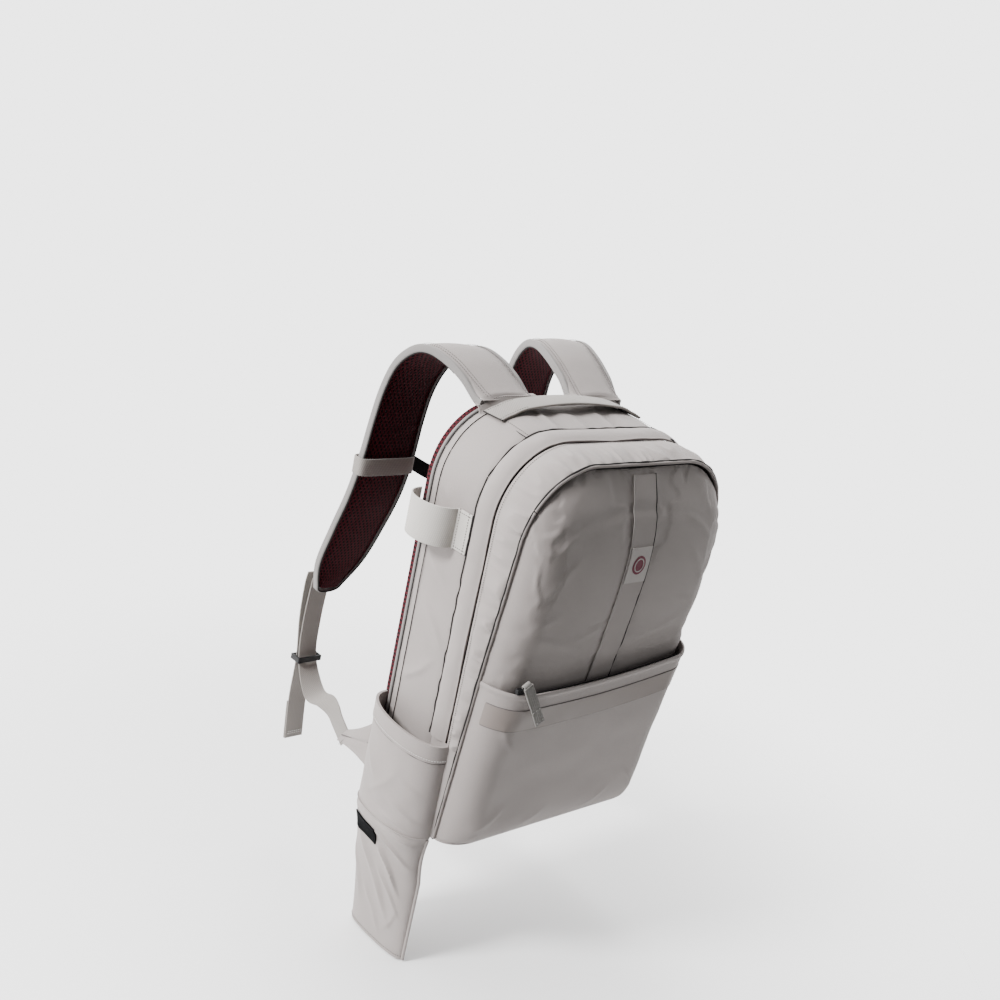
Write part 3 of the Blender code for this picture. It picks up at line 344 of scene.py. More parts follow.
def shell(name, skin, thick, material, core=CORE, inner=None):
    """A closed layer of cloth whose outer face is a grid of points."""
    rows, cols = skin.shape[:2]
    back = skin - normals(skin, core) * thick if inner is None else inner
    both = np.concatenate((skin.reshape(-1, 3), back.reshape(-1, 3)))
    index = np.arange(rows * cols).reshape(rows, cols)
    quads = np.stack((index[:-1, :-1], index[:-1, 1:], index[1:, 1:], index[1:, :-1]), axis=-1)
    quads = quads.reshape(-1, 4)
    rim = np.concatenate((index[0, :], index[1:, -1], index[-1, -2::-1], index[-2:0:-1, 0]))
    after = np.roll(rim, -1)
    count = rows * cols
    edge = np.stack((rim, after, after + count, rim + count), axis=-1)
    faces = np.concatenate((quads, quads[:, ::-1] + count, edge[:, ::-1])).tolist()
    u = np.broadcast_to(distances(skin, 1), (rows, cols))
    v = np.broadcast_to(distances(skin, 0), (rows, cols))
    uv = np.stack((u, v), axis=-1).reshape(-1, 2)
    return make_piece(name, both, faces, np.concatenate((uv, uv)), material)


def sweep(name, path, across, section, material, closed=False, sharp=50):
    """A section of (sideways, outwards) points carried along a path; across is the sideways direction."""
    path = np.asarray(path, float)
    across = unit(np.broadcast_to(np.asarray(across, float), path.shape))
    if closed:
        ahead = np.roll(path, -1, axis=0) - np.roll(path, 1, axis=0)
    else:
        ahead = np.gradient(path, axis=0)
    outward = unit(np.cross(ahead, across))
    section = np.asarray(section, float)
    if section.ndim == 2:
        section = np.broadcast_to(section, (len(path), *section.shape))
    rings = path[:, None] + across[:, None] * section[..., :1] + outward[:, None] * section[..., 1:]
    rows, count = rings.shape[:2]
    index = np.arange(rows * count).reshape(rows, count)
    turned = np.roll(index, -1, axis=1)
    ends = (index, np.roll(index, -1, axis=0), turned, np.roll(turned, -1, axis=0))
    if not closed:
        ends = [ring[:-1] for ring in ends]
    a, d, b, c = ends
    faces = np.stack((a, b, c, d), axis=-1).reshape(-1, 4).tolist()
    if not closed:
        faces += [index[0, ::-1].tolist(), index[-1].tolist()]
    along = lengths_along(path)
    uv = np.stack((np.broadcast_to(along[:, None], (rows, count)), section[..., 0]), axis=-1)
    return make_piece(name, rings.reshape(-1, 3), faces, uv.reshape(-1, 2), material, sharp)


def read_points(mesh):
    places = np.empty(len(mesh.vertices) * 3)
    mesh.vertices.foreach_get("co", places)
    return places.reshape(-1, 3)


def band_section(width, thick, corner=None):
    """Outline of flat webbing with soft edges."""
    corner = thick * 0.48 if corner is None else corner
    outline = []
    for quarter, (side, up) in enumerate(((1, 1), (-1, 1), (-1, -1), (1, -1))):
        for step in range(4):
            angle = math.pi / 2 * (quarter + step / 3)
            outline.append((side * (width / 2 - corner) + corner * math.cos(angle),
                            up * (thick / 2 - corner) + corner * math.sin(angle)))
    return outline


def round_section(radius, count=8):
    angles = 2 * math.pi * np.arange(count) / count
    return np.stack((radius * np.cos(angles), radius * np.sin(angles)), axis=-1)


def sideways(path):
    """A direction across a path that isn't flat webbing, for round sections."""
    ahead = unit(np.gradient(path, axis=0))
    reference = np.where(np.abs(ahead[:, 2:]) > 0.9, (1.0, 0.0, 0.0), (0.0, 0.0, 1.0))
    return unit(np.cross(ahead, reference))


def settle(piece, body, nodes=()):
    """Puts a finished piece on its body and hides the CAD parts it replaces."""
    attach(piece, body)
    if nodes:
        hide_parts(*nodes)
    return piece


def bend(piece, bodies, start, end, slot, nodes=()):
    """For cloth that would bend from one body to another: only bakes its placement into its mesh and hides
    the CAD parts it replaces; it is put on no body and does not bend.
    """
    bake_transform(piece)
    if nodes:
        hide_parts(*nodes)
    return piece


def bend_at_crease(piece, depth, below, above, slot, nodes=()):
    """Cloth of the front around the crease, from a distance below it to one above it; handed to bend, which
    only bakes its placement.
    """
    return bend(piece, ("pack", "front_door"), (0, -depth, CREASE - below), (0, -depth, CREASE + above), slot,
                nodes)


# ---- shader groups and materials -----------------------------------------------------------------
def new_group(name, inputs, outputs):
    """A shader group with its sockets; gives the tree, its input node and its output node."""
    tree = bpy.data.node_groups.new(name, "ShaderNodeTree")
    for label, kind, value in inputs:
        socket = tree.interface.new_socket(label, in_out="INPUT", socket_type=kind)
        if value is not None:
            socket.default_value = value
    for label, kind in outputs:
        tree.interface.new_socket(label, in_out="OUTPUT", socket_type=kind)
    return tree, tree.nodes.new("NodeGroupInput"), tree.nodes.new("NodeGroupOutput")


def feed(tree, socket, value):
    if isinstance(value, bpy.types.NodeSocket):
        tree.links.new(value, socket)
    else:
        socket.default_value = value


def calc(tree, operation, *values):
    node = tree.nodes.new("ShaderNodeMath")
    node.operation = operation
    for socket, value in zip(node.inputs, values):
        feed(tree, socket, value)
    return node.outputs[0]


def mix(tree, factor, first, second, blend="MIX"):
    node = tree.nodes.new("ShaderNodeMix")
    node.data_type = "RGBA"
    node.blend_type = blend
    feed(tree, node.inputs[0], factor)
    feed(tree, node.inputs[6], first)
    feed(tree, node.inputs[7], second)
    return node.outputs[2]


def plus(tree, base, value, share):
    """A number with a share of a value added."""
    return calc(tree, "ADD", base, calc(tree, "MULTIPLY", value, share))


def wave(tree, value, pitch):
    """Sine of a distance with a pitch in metres."""
    return calc(tree, "SINE", calc(tree, "MULTIPLY", value, calc(tree, "DIVIDE", math.tau, pitch)))


def ramp(tree, value, low, high, start=0.0, end=1.0):
    """A smooth step from start to end as the value goes from low to high."""
    node = tree.nodes.new("ShaderNodeMapRange")
    node.interpolation_type = "SMOOTHSTEP"
    for label, number in (("From Min", low), ("From Max", high), ("To Min", start), ("To Max", end)):
        node.inputs[label].default_value = number
    tree.links.new(value, node.inputs["Value"])
    return node.outputs["Result"]


def cloudy(tree, scale, detail=4.0):
    """Noise on Object coordinates, from 0 to 1."""
    place = tree.nodes.new("ShaderNodeTexCoord")
    node = tree.nodes.new("ShaderNodeTexNoise")
    node.inputs["Scale"].default_value = scale
    node.inputs["Detail"].default_value = detail
    tree.links.new(place.outputs["Object"], node.inputs["Vector"])
    return node.outputs["Fac"]


def cloth_axes(tree):
    """The two distances of the cloth's UV map."""
    layer = tree.nodes.new("ShaderNodeUVMap")
    layer.uv_map = "cloth"
    split = tree.nodes.new("ShaderNodeSeparateXYZ")
    tree.links.new(layer.outputs["UV"], split.inputs[0])
    return split.outputs[0], split.outputs[1]


COLOUR = "NodeSocketColor"
NUMBER = "NodeSocketFloat"


def shaded(tree, colour, value, depth):
    """The colour made darker or lighter by a value from 0 to 1, by a share."""
    factor = plus(tree, 1.0, calc(tree, "SUBTRACT", value, 0.5), depth)
    grey = tree.nodes.new("ShaderNodeCombineColor")
    for socket in grey.inputs[:3]:
        tree.links.new(factor, socket)
    return mix(tree, 1.0, colour, grey.outputs[0], "MULTIPLY")


def plain_weave():
    """Woven cloth: over and under threads, slubs and a faint unevenness of the dye."""
    tree, given, result = new_group("plain_weave", (
        ("Colour", COLOUR, (0.4, 0.4, 0.4, 1.0)), ("Pitch", NUMBER, 0.0009), ("Contrast", NUMBER, 0.75),
        ("Mottle", NUMBER, 0.16)), (("Colour", COLOUR), ("Height", NUMBER)))
    u, v = cloth_axes(tree)
    pitch = given.outputs["Pitch"]
    over = calc(tree, "MULTIPLY", wave(tree, u, pitch), wave(tree, v, pitch))
    threads = plus(tree, 0.5, over, 0.5)
    slub = cloudy(tree, 1300.0, 3.0)
    height = plus(tree, calc(tree, "MULTIPLY", threads, 0.6), slub, 0.4)
    colour = shaded(tree, given.outputs["Colour"], height, given.outputs["Contrast"])
    colour = shaded(tree, colour, cloudy(tree, 14.0), given.outputs["Mottle"])
    tree.links.new(colour, result.inputs["Colour"])
    tree.links.new(height, result.inputs["Height"])
    return tree


def rib_weave():
    """Webbing: slanting ribs across the band and two plain edges."""
    tree, given, result = new_group("rib_weave", (
        ("Colour", COLOUR, (0.4, 0.4, 0.4, 1.0)), ("Pitch", NUMBER, 0.0021), ("Slant", NUMBER, 0.6),
        ("Contrast", NUMBER, 0.5)), (("Colour", COLOUR), ("Height", NUMBER)))
    u, v = cloth_axes(tree)
    slant = plus(tree, u, v, given.outputs["Slant"])
    ribs = plus(tree, 0.5, wave(tree, slant, given.outputs["Pitch"]), 0.5)
    cross = plus(tree, 0.5, wave(tree, v, given.outputs["Pitch"]), 0.5)
    height = plus(tree, calc(tree, "MULTIPLY", ribs, 0.65), cross, 0.2)
    height = plus(tree, height, cloudy(tree, 700.0, 2.0), 0.15)
    colour = shaded(tree, given.outputs["Colour"], height, given.outputs["Contrast"])
    colour = shaded(tree, colour, cloudy(tree, 22.0), 0.14)
    tree.links.new(colour, result.inputs["Colour"])
    tree.links.new(height, result.inputs["Height"])
    return tree


def spacer_mesh():
    """Open spacer mesh: staggered diamond holes between raised strands."""
    tree, given, result = new_group("spacer_mesh", (
        ("Strand", COLOUR, (0.2, 0.02, 0.03, 1.0)), ("Hole", COLOUR, (0.01, 0.002, 0.004, 1.0)),
        ("Pitch", NUMBER, 0.0042)), (("Colour", COLOUR), ("Height", NUMBER)))
    u, v = cloth_axes(tree)
    lean = 0.62
    first, second = [wave(tree, plus(tree, u, v, way), given.outputs["Pitch"]) for way in (lean, -lean)]
    both = plus(tree, 0.5, calc(tree, "ADD", first, second), 0.25)
    hole = ramp(tree, both, 0.52, 0.72)
    colour = mix(tree, hole, given.outputs["Strand"], given.outputs["Hole"])
    colour = shaded(tree, colour, cloudy(tree, 40.0), 0.3)
    tree.links.new(colour, result.inputs["Colour"])
    tree.links.new(calc(tree, "SUBTRACT", 1.0, hole), result.inputs["Height"])
    return tree


def moulded():
    """Moulded plastic: fine grain with a few lighter rubbed places."""
    tree, given, result = new_group("moulded", (
        ("Colour", COLOUR, (0.02, 0.02, 0.02, 1.0)), ("Rub", NUMBER, 0.4), ("Grain", NUMBER, 600.0)),
        (("Colour", COLOUR), ("Roughness", NUMBER), ("Height", NUMBER)))
    grain = tree.nodes.new("ShaderNodeTexNoise")
    place = tree.nodes.new("ShaderNodeTexCoord")
    tree.links.new(place.outputs["Object"], grain.inputs["Vector"])
    tree.links.new(given.outputs["Grain"], grain.inputs["Scale"])
    tree.links.new(shaded(tree, given.outputs["Colour"], cloudy(tree, 60.0), given.outputs["Rub"]),
                   result.inputs["Colour"])
    tree.links.new(plus(tree, 0.38, grain.outputs["Fac"], 0.2), result.inputs["Roughness"])
    tree.links.new(grain.outputs["Fac"], result.inputs["Height"])
    return tree


GROUPS = {"plain": plain_weave(), "rib": rib_weave(), "mesh": spacer_mesh(), "moulded": moulded()}


def rgb(red, green, blue):
    return (red, green, blue, 1.0)


def finish_material(name, group, colour, roughness, relief, sheen=0.0, specular=0.3, **more):
    """A material from one shader group; relief is its pattern's height in metres, more its other inputs."""
    made = bpy.data.materials.new(name)
    made.use_nodes = True
    tree = made.node_tree
    shader = tree.nodes["Principled BSDF"]
    pattern = tree.nodes.new("ShaderNodeGroup")
    pattern.node_tree = GROUPS[group]
    pattern.inputs[0].default_value = rgb(*colour)
    for label, value in more.items():
        pattern.inputs[label].default_value = value
    tree.links.new(pattern.outputs["Colour"], shader.inputs["Base Color"])
    if "Roughness" in pattern.outputs:
        tree.links.new(pattern.outputs["Roughness"], shader.inputs["Roughness"])
    else:
        shader.inputs["Roughness"].default_value = roughness
    for label, value in (("Specular IOR Level", specular), ("Sheen Weight", sheen), ("Sheen Roughness", 0.5)):
        shader.inputs[label].default_value = value
    bump = tree.nodes.new("ShaderNodeBump")
    bump.inputs["Distance"].default_value = relief
    tree.links.new(pattern.outputs["Height"], bump.inputs["Height"])
    tree.links.new(bump.outputs["Normal"], shader.inputs["Normal"])
    return made


# name, group, colour, roughness, height of the pattern, sheen
FABRIC = finish_material("warm_grey_cloth", "plain", (0.285, 0.254, 0.242), 0.68, 0.00016, 0.08)
INSIDE = finish_material("lining_cloth", "plain", (0.17, 0.16, 0.16), 0.85, 0.00012, 0.1, Pitch=0.0012)
BAND = finish_material("taupe_film", "plain", (0.185, 0.155, 0.140), 0.42, 0.00003, specular=0.5,
                       Contrast=0.06, Mottle=0.10)
BINDING = finish_material("grey_binding", "rib", (0.20, 0.188, 0.182), 0.7, 0.0001, 0.1,
                          Pitch=0.0010, Slant=0.0, Contrast=0.25)
WEBBING = finish_material("grey_webbing", "rib", (0.235, 0.215, 0.198), 0.75, 0.0003, 0.15)
LOOP_WEBBING = finish_material("pale_webbing", "rib", (0.45, 0.425, 0.395), 0.8, 0.0002, 0.15, Contrast=0.3)
PULL_TAPE = finish_material("pull_tape", "rib", (0.20, 0.19, 0.178), 0.7, 0.0002,
                            Pitch=0.0012, Slant=0.0, Contrast=0.5)
MESH = finish_material("burgundy_mesh", "mesh", (0.060, 0.0050, 0.0095), 0.85, 0.0009, 0.03, specular=0.15,
                       Hole=rgb(0.004, 0.001, 0.0015), Pitch=0.0050)
BLACK_WEAVE = finish_material("black_tape", "rib", (0.006, 0.006, 0.0065), 0.85, 0.0002, specular=0.1,
                              Pitch=0.0014, Contrast=0.5)
HOOKS = finish_material("black_hooks", "plain", (0.004, 0.004, 0.0045), 0.95, 0.0006, specular=0.05,
                        Pitch=0.0016, Contrast=1.2)
PLASTIC = finish_material("black_plastic", "moulded", (0.007, 0.007, 0.0075), 0.4, 0.00003, specular=0.25)
# seam_shadow is a near-black colour painted as the shade in the grooves of seams, folds and gaps; the
# gusset's dark gather stitches use it too
SEAM_SHADE = finish_material("seam_shadow", "plain", (0.022, 0.020, 0.020), 0.95, 0.00005, Pitch=0.0007)
THREAD = finish_material("grey_thread", "plain", (0.11, 0.10, 0.098), 0.8, 0.00003, Pitch=0.0006)
PALE_THREAD = finish_material("pale_thread", "plain", (0.62, 0.60, 0.58), 0.8, 0.00003, Pitch=0.0006)
# the label's own pale ground, also used as painted highlight on the centre strip's left edge
LABEL_AND_HIGHLIGHT = finish_material("label_ground_and_highlight", "plain", (0.40, 0.37, 0.355), 0.7, 0.00006, Pitch=0.0007)
EMBLEM = finish_material("burgundy_label", "plain", (0.13, 0.018, 0.035), 0.6, 0.00008, Pitch=0.0007)
ZIP_CLOTH = finish_material("zip_cloth", "moulded", (0.006, 0.0055, 0.0055), 0.8, 0.0001, specular=0.1)
SHEET = finish_material("stiff_sheet", "moulded", (0.6, 0.6, 0.58), 0.5, 0.00003)

stitch_runs = {}


def stitch(group, path):
    """Adds a line of stitches, by the group of its body and thread."""
    stitch_runs.setdefault(group, []).append(np.asarray(path, float))


def seam_shade_cord(name, path, radius=0.0007, wobble=0.0005, seed=5):
    """A dark cord of painted shade in the groove of a turned seam, a little uneven as sewn cloth is."""
    path = np.asarray(path, float)
    shift = np.stack([noise(path, 0.011, seed + axis) for axis in range(3)], axis=-1) * wobble
    return sweep(name, path + shift, sideways(path), round_section(radius, 6), SEAM_SHADE)


def settle_seam_shade(name, path, radius=0.0007, wobble=0.0005):
    """A cord of painted seam shade on the bag itself."""
    settle(seam_shade_cord(name, path, radius, wobble), "pack")


# ---- cloth that swells between its seams ---------------------------------------------------------
FILL_FRAMES = 16
# how far a point may move, and the pressure inside
FRONT_FILL = (0.0006, 1.0)
BACK_FILL = (0.0016, 1.0)
STRAP_FILL = (0.0028, 2.5)
STRAP_MESH_FILL = (0.0020, 2.0)


def puffed(piece, held, cap, pressure):
    """Fills a cushion's mesh by cloth simulation; held marks its sewn points, cap limits any movement."""
    scene = bpy.context.scene
    pins = piece.vertex_groups.new(name="sewn")
    pins.add(np.nonzero(held)[0].tolist(), 1.0, "REPLACE")
    cloth = piece.modifiers.new("fill", "CLOTH")
    cloth.settings.effector_weights.gravity = 0.0
    cloth.settings.use_pressure = True
    cloth.settings.uniform_pressure_force = pressure
    cloth.settings.vertex_group_mass = "sewn"
    cloth.settings.quality = 6
    cloth.settings.tension_stiffness = 12
    cloth.settings.compression_stiffness = 12
    cloth.settings.bending_stiffness = 0.4
    cloth.settings.shrink_min = -0.02
    cloth.point_cache.frame_start = 1
    cloth.point_cache.frame_end = FILL_FRAMES
    for number in range(1, FILL_FRAMES + 1):
        scene.frame_set(number)
    view_layer = bpy.context.evaluated_depsgraph_get()
    swollen = bpy.data.meshes.new_from_object(piece.evaluated_get(view_layer))
    rest = read_points(piece.data)
    shift = read_points(swollen) - rest
    size = np.linalg.norm(shift, axis=1, keepdims=True)
    shift *= np.minimum(1.0, cap / np.maximum(size, 1e-9))
    piece.modifiers.remove(cloth)
    piece.vertex_groups.remove(pins)
    piece.data.vertices.foreach_set("co", (rest + shift).ravel())
    bpy.data.meshes.remove(swollen)
    scene.frame_set(1)


# ---- the bag's walls -----------------------------------------------------------------------------
SIDE_CREASES = (
    ((0.030, 0.150), (0.074, 0.190), 0.0060, 0.0016), ((0.082, 0.205), (0.040, 0.245), 0.0070, 0.0018),
    ((0.030, 0.300), (0.070, 0.275), 0.0060, 0.0016), ((0.034, 0.060), (0.080, 0.092), 0.0070, 0.0018),
    ((0.040, 0.372), (0.080, 0.340), 0.0070, 0.0016),
)


def make_body_sides():
    """One run of cloth up the left side, over the top and down the right, from the back to the flap."""
    reach = arch_reach(0.0)
    runs = np.linspace(-reach, reach, 420)[:, None]
    depths = np.linspace(PAD_DEPTH + 0.003, SEAM_OUT, 30)[None, :]
    grid = arch(runs, depths)
    share = (depths - depths.min()) / np.ptp(depths)
    puff = 0.0022 * np.sin(math.pi * share) ** 0.8 * np.ones_like(runs)
    puff += crumple(grid * (1.0, 1.0, 0.6), 3, 0.0024) * np.sin(math.pi * share) ** 0.5
    top_seam = FLAT + CORNER * math.radians(24)
    puff -= 0.0014 * dip(np.abs(runs) - top_seam, 0.0016)
    folds = noise(grid * (1.0, 0.25, 0.0), 0.021, 8)
    near_handle = smooth(0.075, 0.045, np.abs(runs)) * smooth(0.02, 0.06, depths)
    puff += 0.0036 * (0.5 - 1.4 * np.abs(folds)) * near_handle
    height = grid[..., 2] - GROUND
    puff += creases(depths + 0 * runs, height, SIDE_CREASES) * smooth(0.40, 0.36, height)
    puff -= 0.0012 * dip(depths - SEAM_OUT, 0.004)
    side = shell("body_sides", raised(grid, puff), WALL, FABRIC)
    settle(side, "pack", ("side_panel_left", "side_panel_right", "top_panel"))
    seam_way = np.linspace(0.02, SEAM_OUT, 40)
    # each top seam gets a dark cord of painted shade in its groove, beside its stitches
    for sign in (-1, 1):
        settle_seam_shade(f"top_seam_shade_{sign + 1}", arch(sign * top_seam, seam_way, 0.0014), radius=0.0005)
        stitch("pack_grey", arch(sign * (top_seam - 0.003), seam_way, 0.0030))
    # two more cords of painted shade run along the arch, in the grooves of the edge seams
    strip = np.linspace(-reach, reach, 300)
    for depth, out in ((0.0175, 0.0010), (0.0275, 0.0018)):
        settle_seam_shade(f"edge_seam_shade_{round(depth * 1e4)}", arch(strip, depth, out), radius=0.0005, wobble=0.0003)


def make_flap():
    """The storm flap: a folded strip whose free edge stands over the zip."""
    foot = ZIP_END
    reach = arch_reach(foot)
    runs = np.linspace(-reach, reach, 420)[:, None]
    share = np.linspace(0, 1, 12)[None, :]
    depths = SEAM_OUT + 0.0006 + (FLAP_EDGE + FLAP_LAP - SEAM_OUT) * share
    grid = arch(runs, depths, 0.0022, foot)
    puff = 0.0030 * np.sin(math.pi * np.clip(share, 0, 0.93)) ** 0.6 - 0.0014 * share ** 2
    puff = puff + 0.0012 * noise(grid, 0.045, 21) * share + 0.0005 * noise(grid, 0.012, 22)
    flap = shell("storm_flap_cloth", raised(grid, puff), 0.0024, FABRIC)
    settle(flap, "pack", ("storm_flap",))
    # a dark cord of painted shade in the gap of the flap's seam
    line = arch(np.linspace(-reach, reach, 500), SEAM_OUT + 0.0002, 0.0027, foot)
    settle_seam_shade("flap_seam_shade", line, radius=0.0009, wobble=0.0010)


def make_gusset():
    """The gathered gusset between the zip and the front, and the plain sides below it."""
    foot = ZIP_END
    reach = arch_reach(foot)
    runs = np.linspace(-reach, reach, 900)[:, None]
    share = np.linspace(0, 1, 22)[None, :]
    height = arch(runs, 0.15, 0.0, foot)[..., 2] - GROUND
    last = seam_depth(height)
    depths = GUSSET_START + (last - GUSSET_START) * share
    grid = arch(runs, depths, 0.0, foot)
    along = points(runs, 0.05 * share, 0.0)
    gather = 0.0040 * (0.5 - 1.6 * np.abs(noise(along, (0.0090, 0.06, 1.0), 31)))
    gather = gather + 0.0020 * noise(along, (0.019, 0.04, 1.0), 32)
    gather *= 0.25 + 0.75 * share ** 1.5
    puff = 0.0034 * np.sin(math.pi * share) ** 0.7 + gather * np.sin(math.pi * share) ** 0.22
    puff -= 0.0010 * dip(depths - GUSSET_START - 0.005, 0.0012)
    gusset = shell("gathered_gusset", raised(grid, puff), LIGHT_CLOTH, FABRIC)
    bend_at_crease(gusset, 0.15, 0, 0.05, "fabric_warm_grey", ("door_gusset",))
    line = arch(np.linspace(-reach, reach, 500), GUSSET_START + 0.005, 0.0021, foot)
    stitch("door_dark", line)
    for label, sign in SIGN.items():
        rows = np.linspace(0, foot, 40)[:, None]
        share = np.linspace(0, 1, 20)[None, :]
        depths = SEAM_OUT + 0.0008 + (seam_depth(rows) - SEAM_OUT - 0.0008) * share
        grid = at(sign * HALF, depths, rows + 0 * depths)
        puff = 0.0028 * np.sin(math.pi * share) ** 0.7 * np.ones_like(rows) + crumple(grid, 40 + sign, 0.0016)
        lower = shell("lower_side_cloth_" + label, raised(grid, puff), LIGHT_CLOTH, FABRIC)
        settle(lower, "pack", ("lower_side_" + label,))


def make_zip_backing():
    """Dark cloth behind the zip on both sides of its coil."""
    foot = ZIP_END
    reach = arch_reach(foot)
    runs = np.linspace(-reach, reach, 260)[:, None]
    for label, body, first, last in (("body", "pack", SEAM_OUT, ZIP_LINE - 0.0002),
                                     ("door", "front_door", ZIP_LINE + 0.0002, GUSSET_START + 0.004)):
        depths = np.linspace(first, last, 4)[None, :]
        backing = shell("zip_backing_" + label, arch(runs, depths, -0.0050, foot), THIN_CLOTH, ZIP_CLOTH)
        settle(backing, body, ("zip_tape_" + label,))


def make_front_seam():
    """Piping of the front's seam: a pale cord with a dark cord of painted shade in the turned seam's groove
    behind it.
    """
    reach = arch_reach(0.0)
    runs = np.linspace(-reach, reach, 700)
    path = arch(runs, seam_depth(arch(runs, 0.15)[..., 2] - GROUND))
    wobble = np.stack([noise(path, 0.012, 51 + axis) for axis in range(3)], axis=-1) * 0.00024
    inward = -0.0014 * unit((path - CORE) * (1, 0, 1))
    piping = sweep("front_piping", path + wobble + inward, sideways(path), round_section(0.0019, 8), FABRIC)
    bend_at_crease(piping, 0.15, 0.004, 0.05, "fabric_warm_grey")
    # the dark cord is painted shade in the groove between the gusset and the piping
    dark = seam_shade_cord("front_seam_shade", path + (0, 0.0004, 0) - 0.45 * inward, 0.0010, 0.0005, 52)
    bend_at_crease(dark, 0.15, 0.004, 0.05, "fabric_warm_grey")


def front_grid(feet, tops, rows, cols, lift, reach=None):
    """Grid of points over the front; feet, tops and lift are functions."""
    share = np.sin(math.pi / 2 * np.linspace(0, 1, rows))[:, None]
    across = np.sin(math.pi * (np.linspace(0, 1, cols) - 0.5))[None, :]
    middle = feet(0.0) + (tops(0.0) - feet(0.0)) * share
    half = half_width(middle) if reach is None else reach
    x = half * across
    height = feet(x) + (tops(x) - feet(x)) * share
    return at(x, front_depth(x, height) + lift(x, height), height), x, height


FRONT_CREASES = (
    ((0.030, 0.236), (0.118, 0.262), 0.0050, 0.0020), ((0.050, 0.222), (0.128, 0.232), 0.0040, 0.0018),
    ((0.020, 0.262), (0.075, 0.247), 0.0050, 0.0015), ((0.124, 0.300), (0.080, 0.352), 0.0060, 0.0013),
    ((0.120, 0.352), (0.070, 0.384), 0.0055, 0.0013), ((0.126, 0.270), (0.085, 0.287), 0.0045, 0.0014),
)


def front_folds(x, height):
    """Slack in the front panel: a crease under the crown and soft pulls above the pocket."""
    flat = spread(x * 0.35, height)
    crown = 0.0016 * dip(height - 0.392 + 0.25 * x ** 2 / HALF, 0.006)
    crown = crown * smooth(0.12, 0.02, np.abs(x + 0.03))
    pulls = 0.0012 * noise(flat, (0.03, 1.0, 0.017), 61) * smooth(0.30, 0.21, height)
    slack = 0.0020 * noise(spread(x, height), (0.075, 1.0, 0.11), 62)
    diagonal = spread(x * 0.8 + height * 0.6, height * 0.8 - x * 0.6)
    drape = 0.0007 * noise(diagonal, (0.022, 1.0, 0.09), 63) * smooth(0.26, 0.36, height)
    side = half_width(height) - np.abs(x)
    edge = smooth(0.0, 0.018, side)
    gathers = 0.0010 * noise(spread(x * 0.15, height), (0.03, 1.0, 0.009), 64) * dip(side - 0.010, 0.012)
    folds = creases(np.abs(x + 0.004), height, FRONT_CREASES)
    return (slack + pulls + drape - crown + 0.75 * folds) * edge + gathers * smooth(0.0, 0.005, side)


def make_front():
    """The front panel, its lining and the wall behind the pocket."""
    top = HEIGHT - TOP_DROP - SEAM_INSET
    grid, x, height = front_grid(level(ZIP_END), level(top), 110, 130, front_folds)
    panel = shell("front_cloth", grid, PANEL_CLOTH, FABRIC)
    border = np.zeros(grid.shape[:2], bool)
    border[:2] = border[-2:] = border[:, :2] = border[:, -2:] = True
    held = border | (np.abs(np.abs(x) - STRIP_HALF) < 0.0016) | (height < ZIP_END + 0.05)
    puffed(panel, np.tile(held.ravel(), 2), *FRONT_FILL)
    bend_at_crease(panel, 0.16, 0, 0.04, "fabric_warm_grey", ("front_panel",))
    inner, _, _ = front_grid(level(ZIP_END), level(top), 50, 60, lambda x, z: -0.0075 + 0 * x)
    bend_at_crease(shell("front_lining", inner, THIN_CLOTH, INSIDE), 0.16, 0, 0.04, "lining_grey")
    low, _, _ = front_grid(level(0.001), level(ZIP_END), 30, 60, lambda x, z: 0 * x)
    settle(shell("front_cloth_lower", low, WALL, INSIDE), "pack", ("front_wall_lower",))


POCKET_CREASES = (
    ((-0.132, 0.020), (-0.088, 0.046), 0.0060, 0.0020), ((0.128, 0.018), (0.090, 0.060), 0.0060, 0.0018),
    ((-0.134, 0.165), (-0.104, 0.120), 0.0060, 0.0014), ((-0.060, 0.012), (-0.020, 0.030), 0.0055, 0.0014),
    ((0.040, 0.010), (0.082, 0.034), 0.0055, 0.0014),
)


def pocket_folds(x, height):
    """The pocket wall's slack, stiffer along its edge and drawn in at the foot."""
    edge = pocket_line(x) - height
    flat = spread(x, height)
    slack = 0.0024 * noise(flat, (0.085, 1.0, 0.07), 71) + 0.0008 * noise(flat, (0.035, 1.0, 0.025), 72)
    slack = slack + creases(x, height, POCKET_CREASES)
    calm = 0.35 + 0.65 * smooth(0.02, 0.07, edge)
    seam = smooth(0.0, 0.020, half_width(height) - np.abs(x)) * smooth(0.0, 0.012, height)
    return slack * calm * seam


def pocket_skin(x, height):
    return pocket_depth(x, height) - front_depth(x, height) + WALL + pocket_folds(x, height)


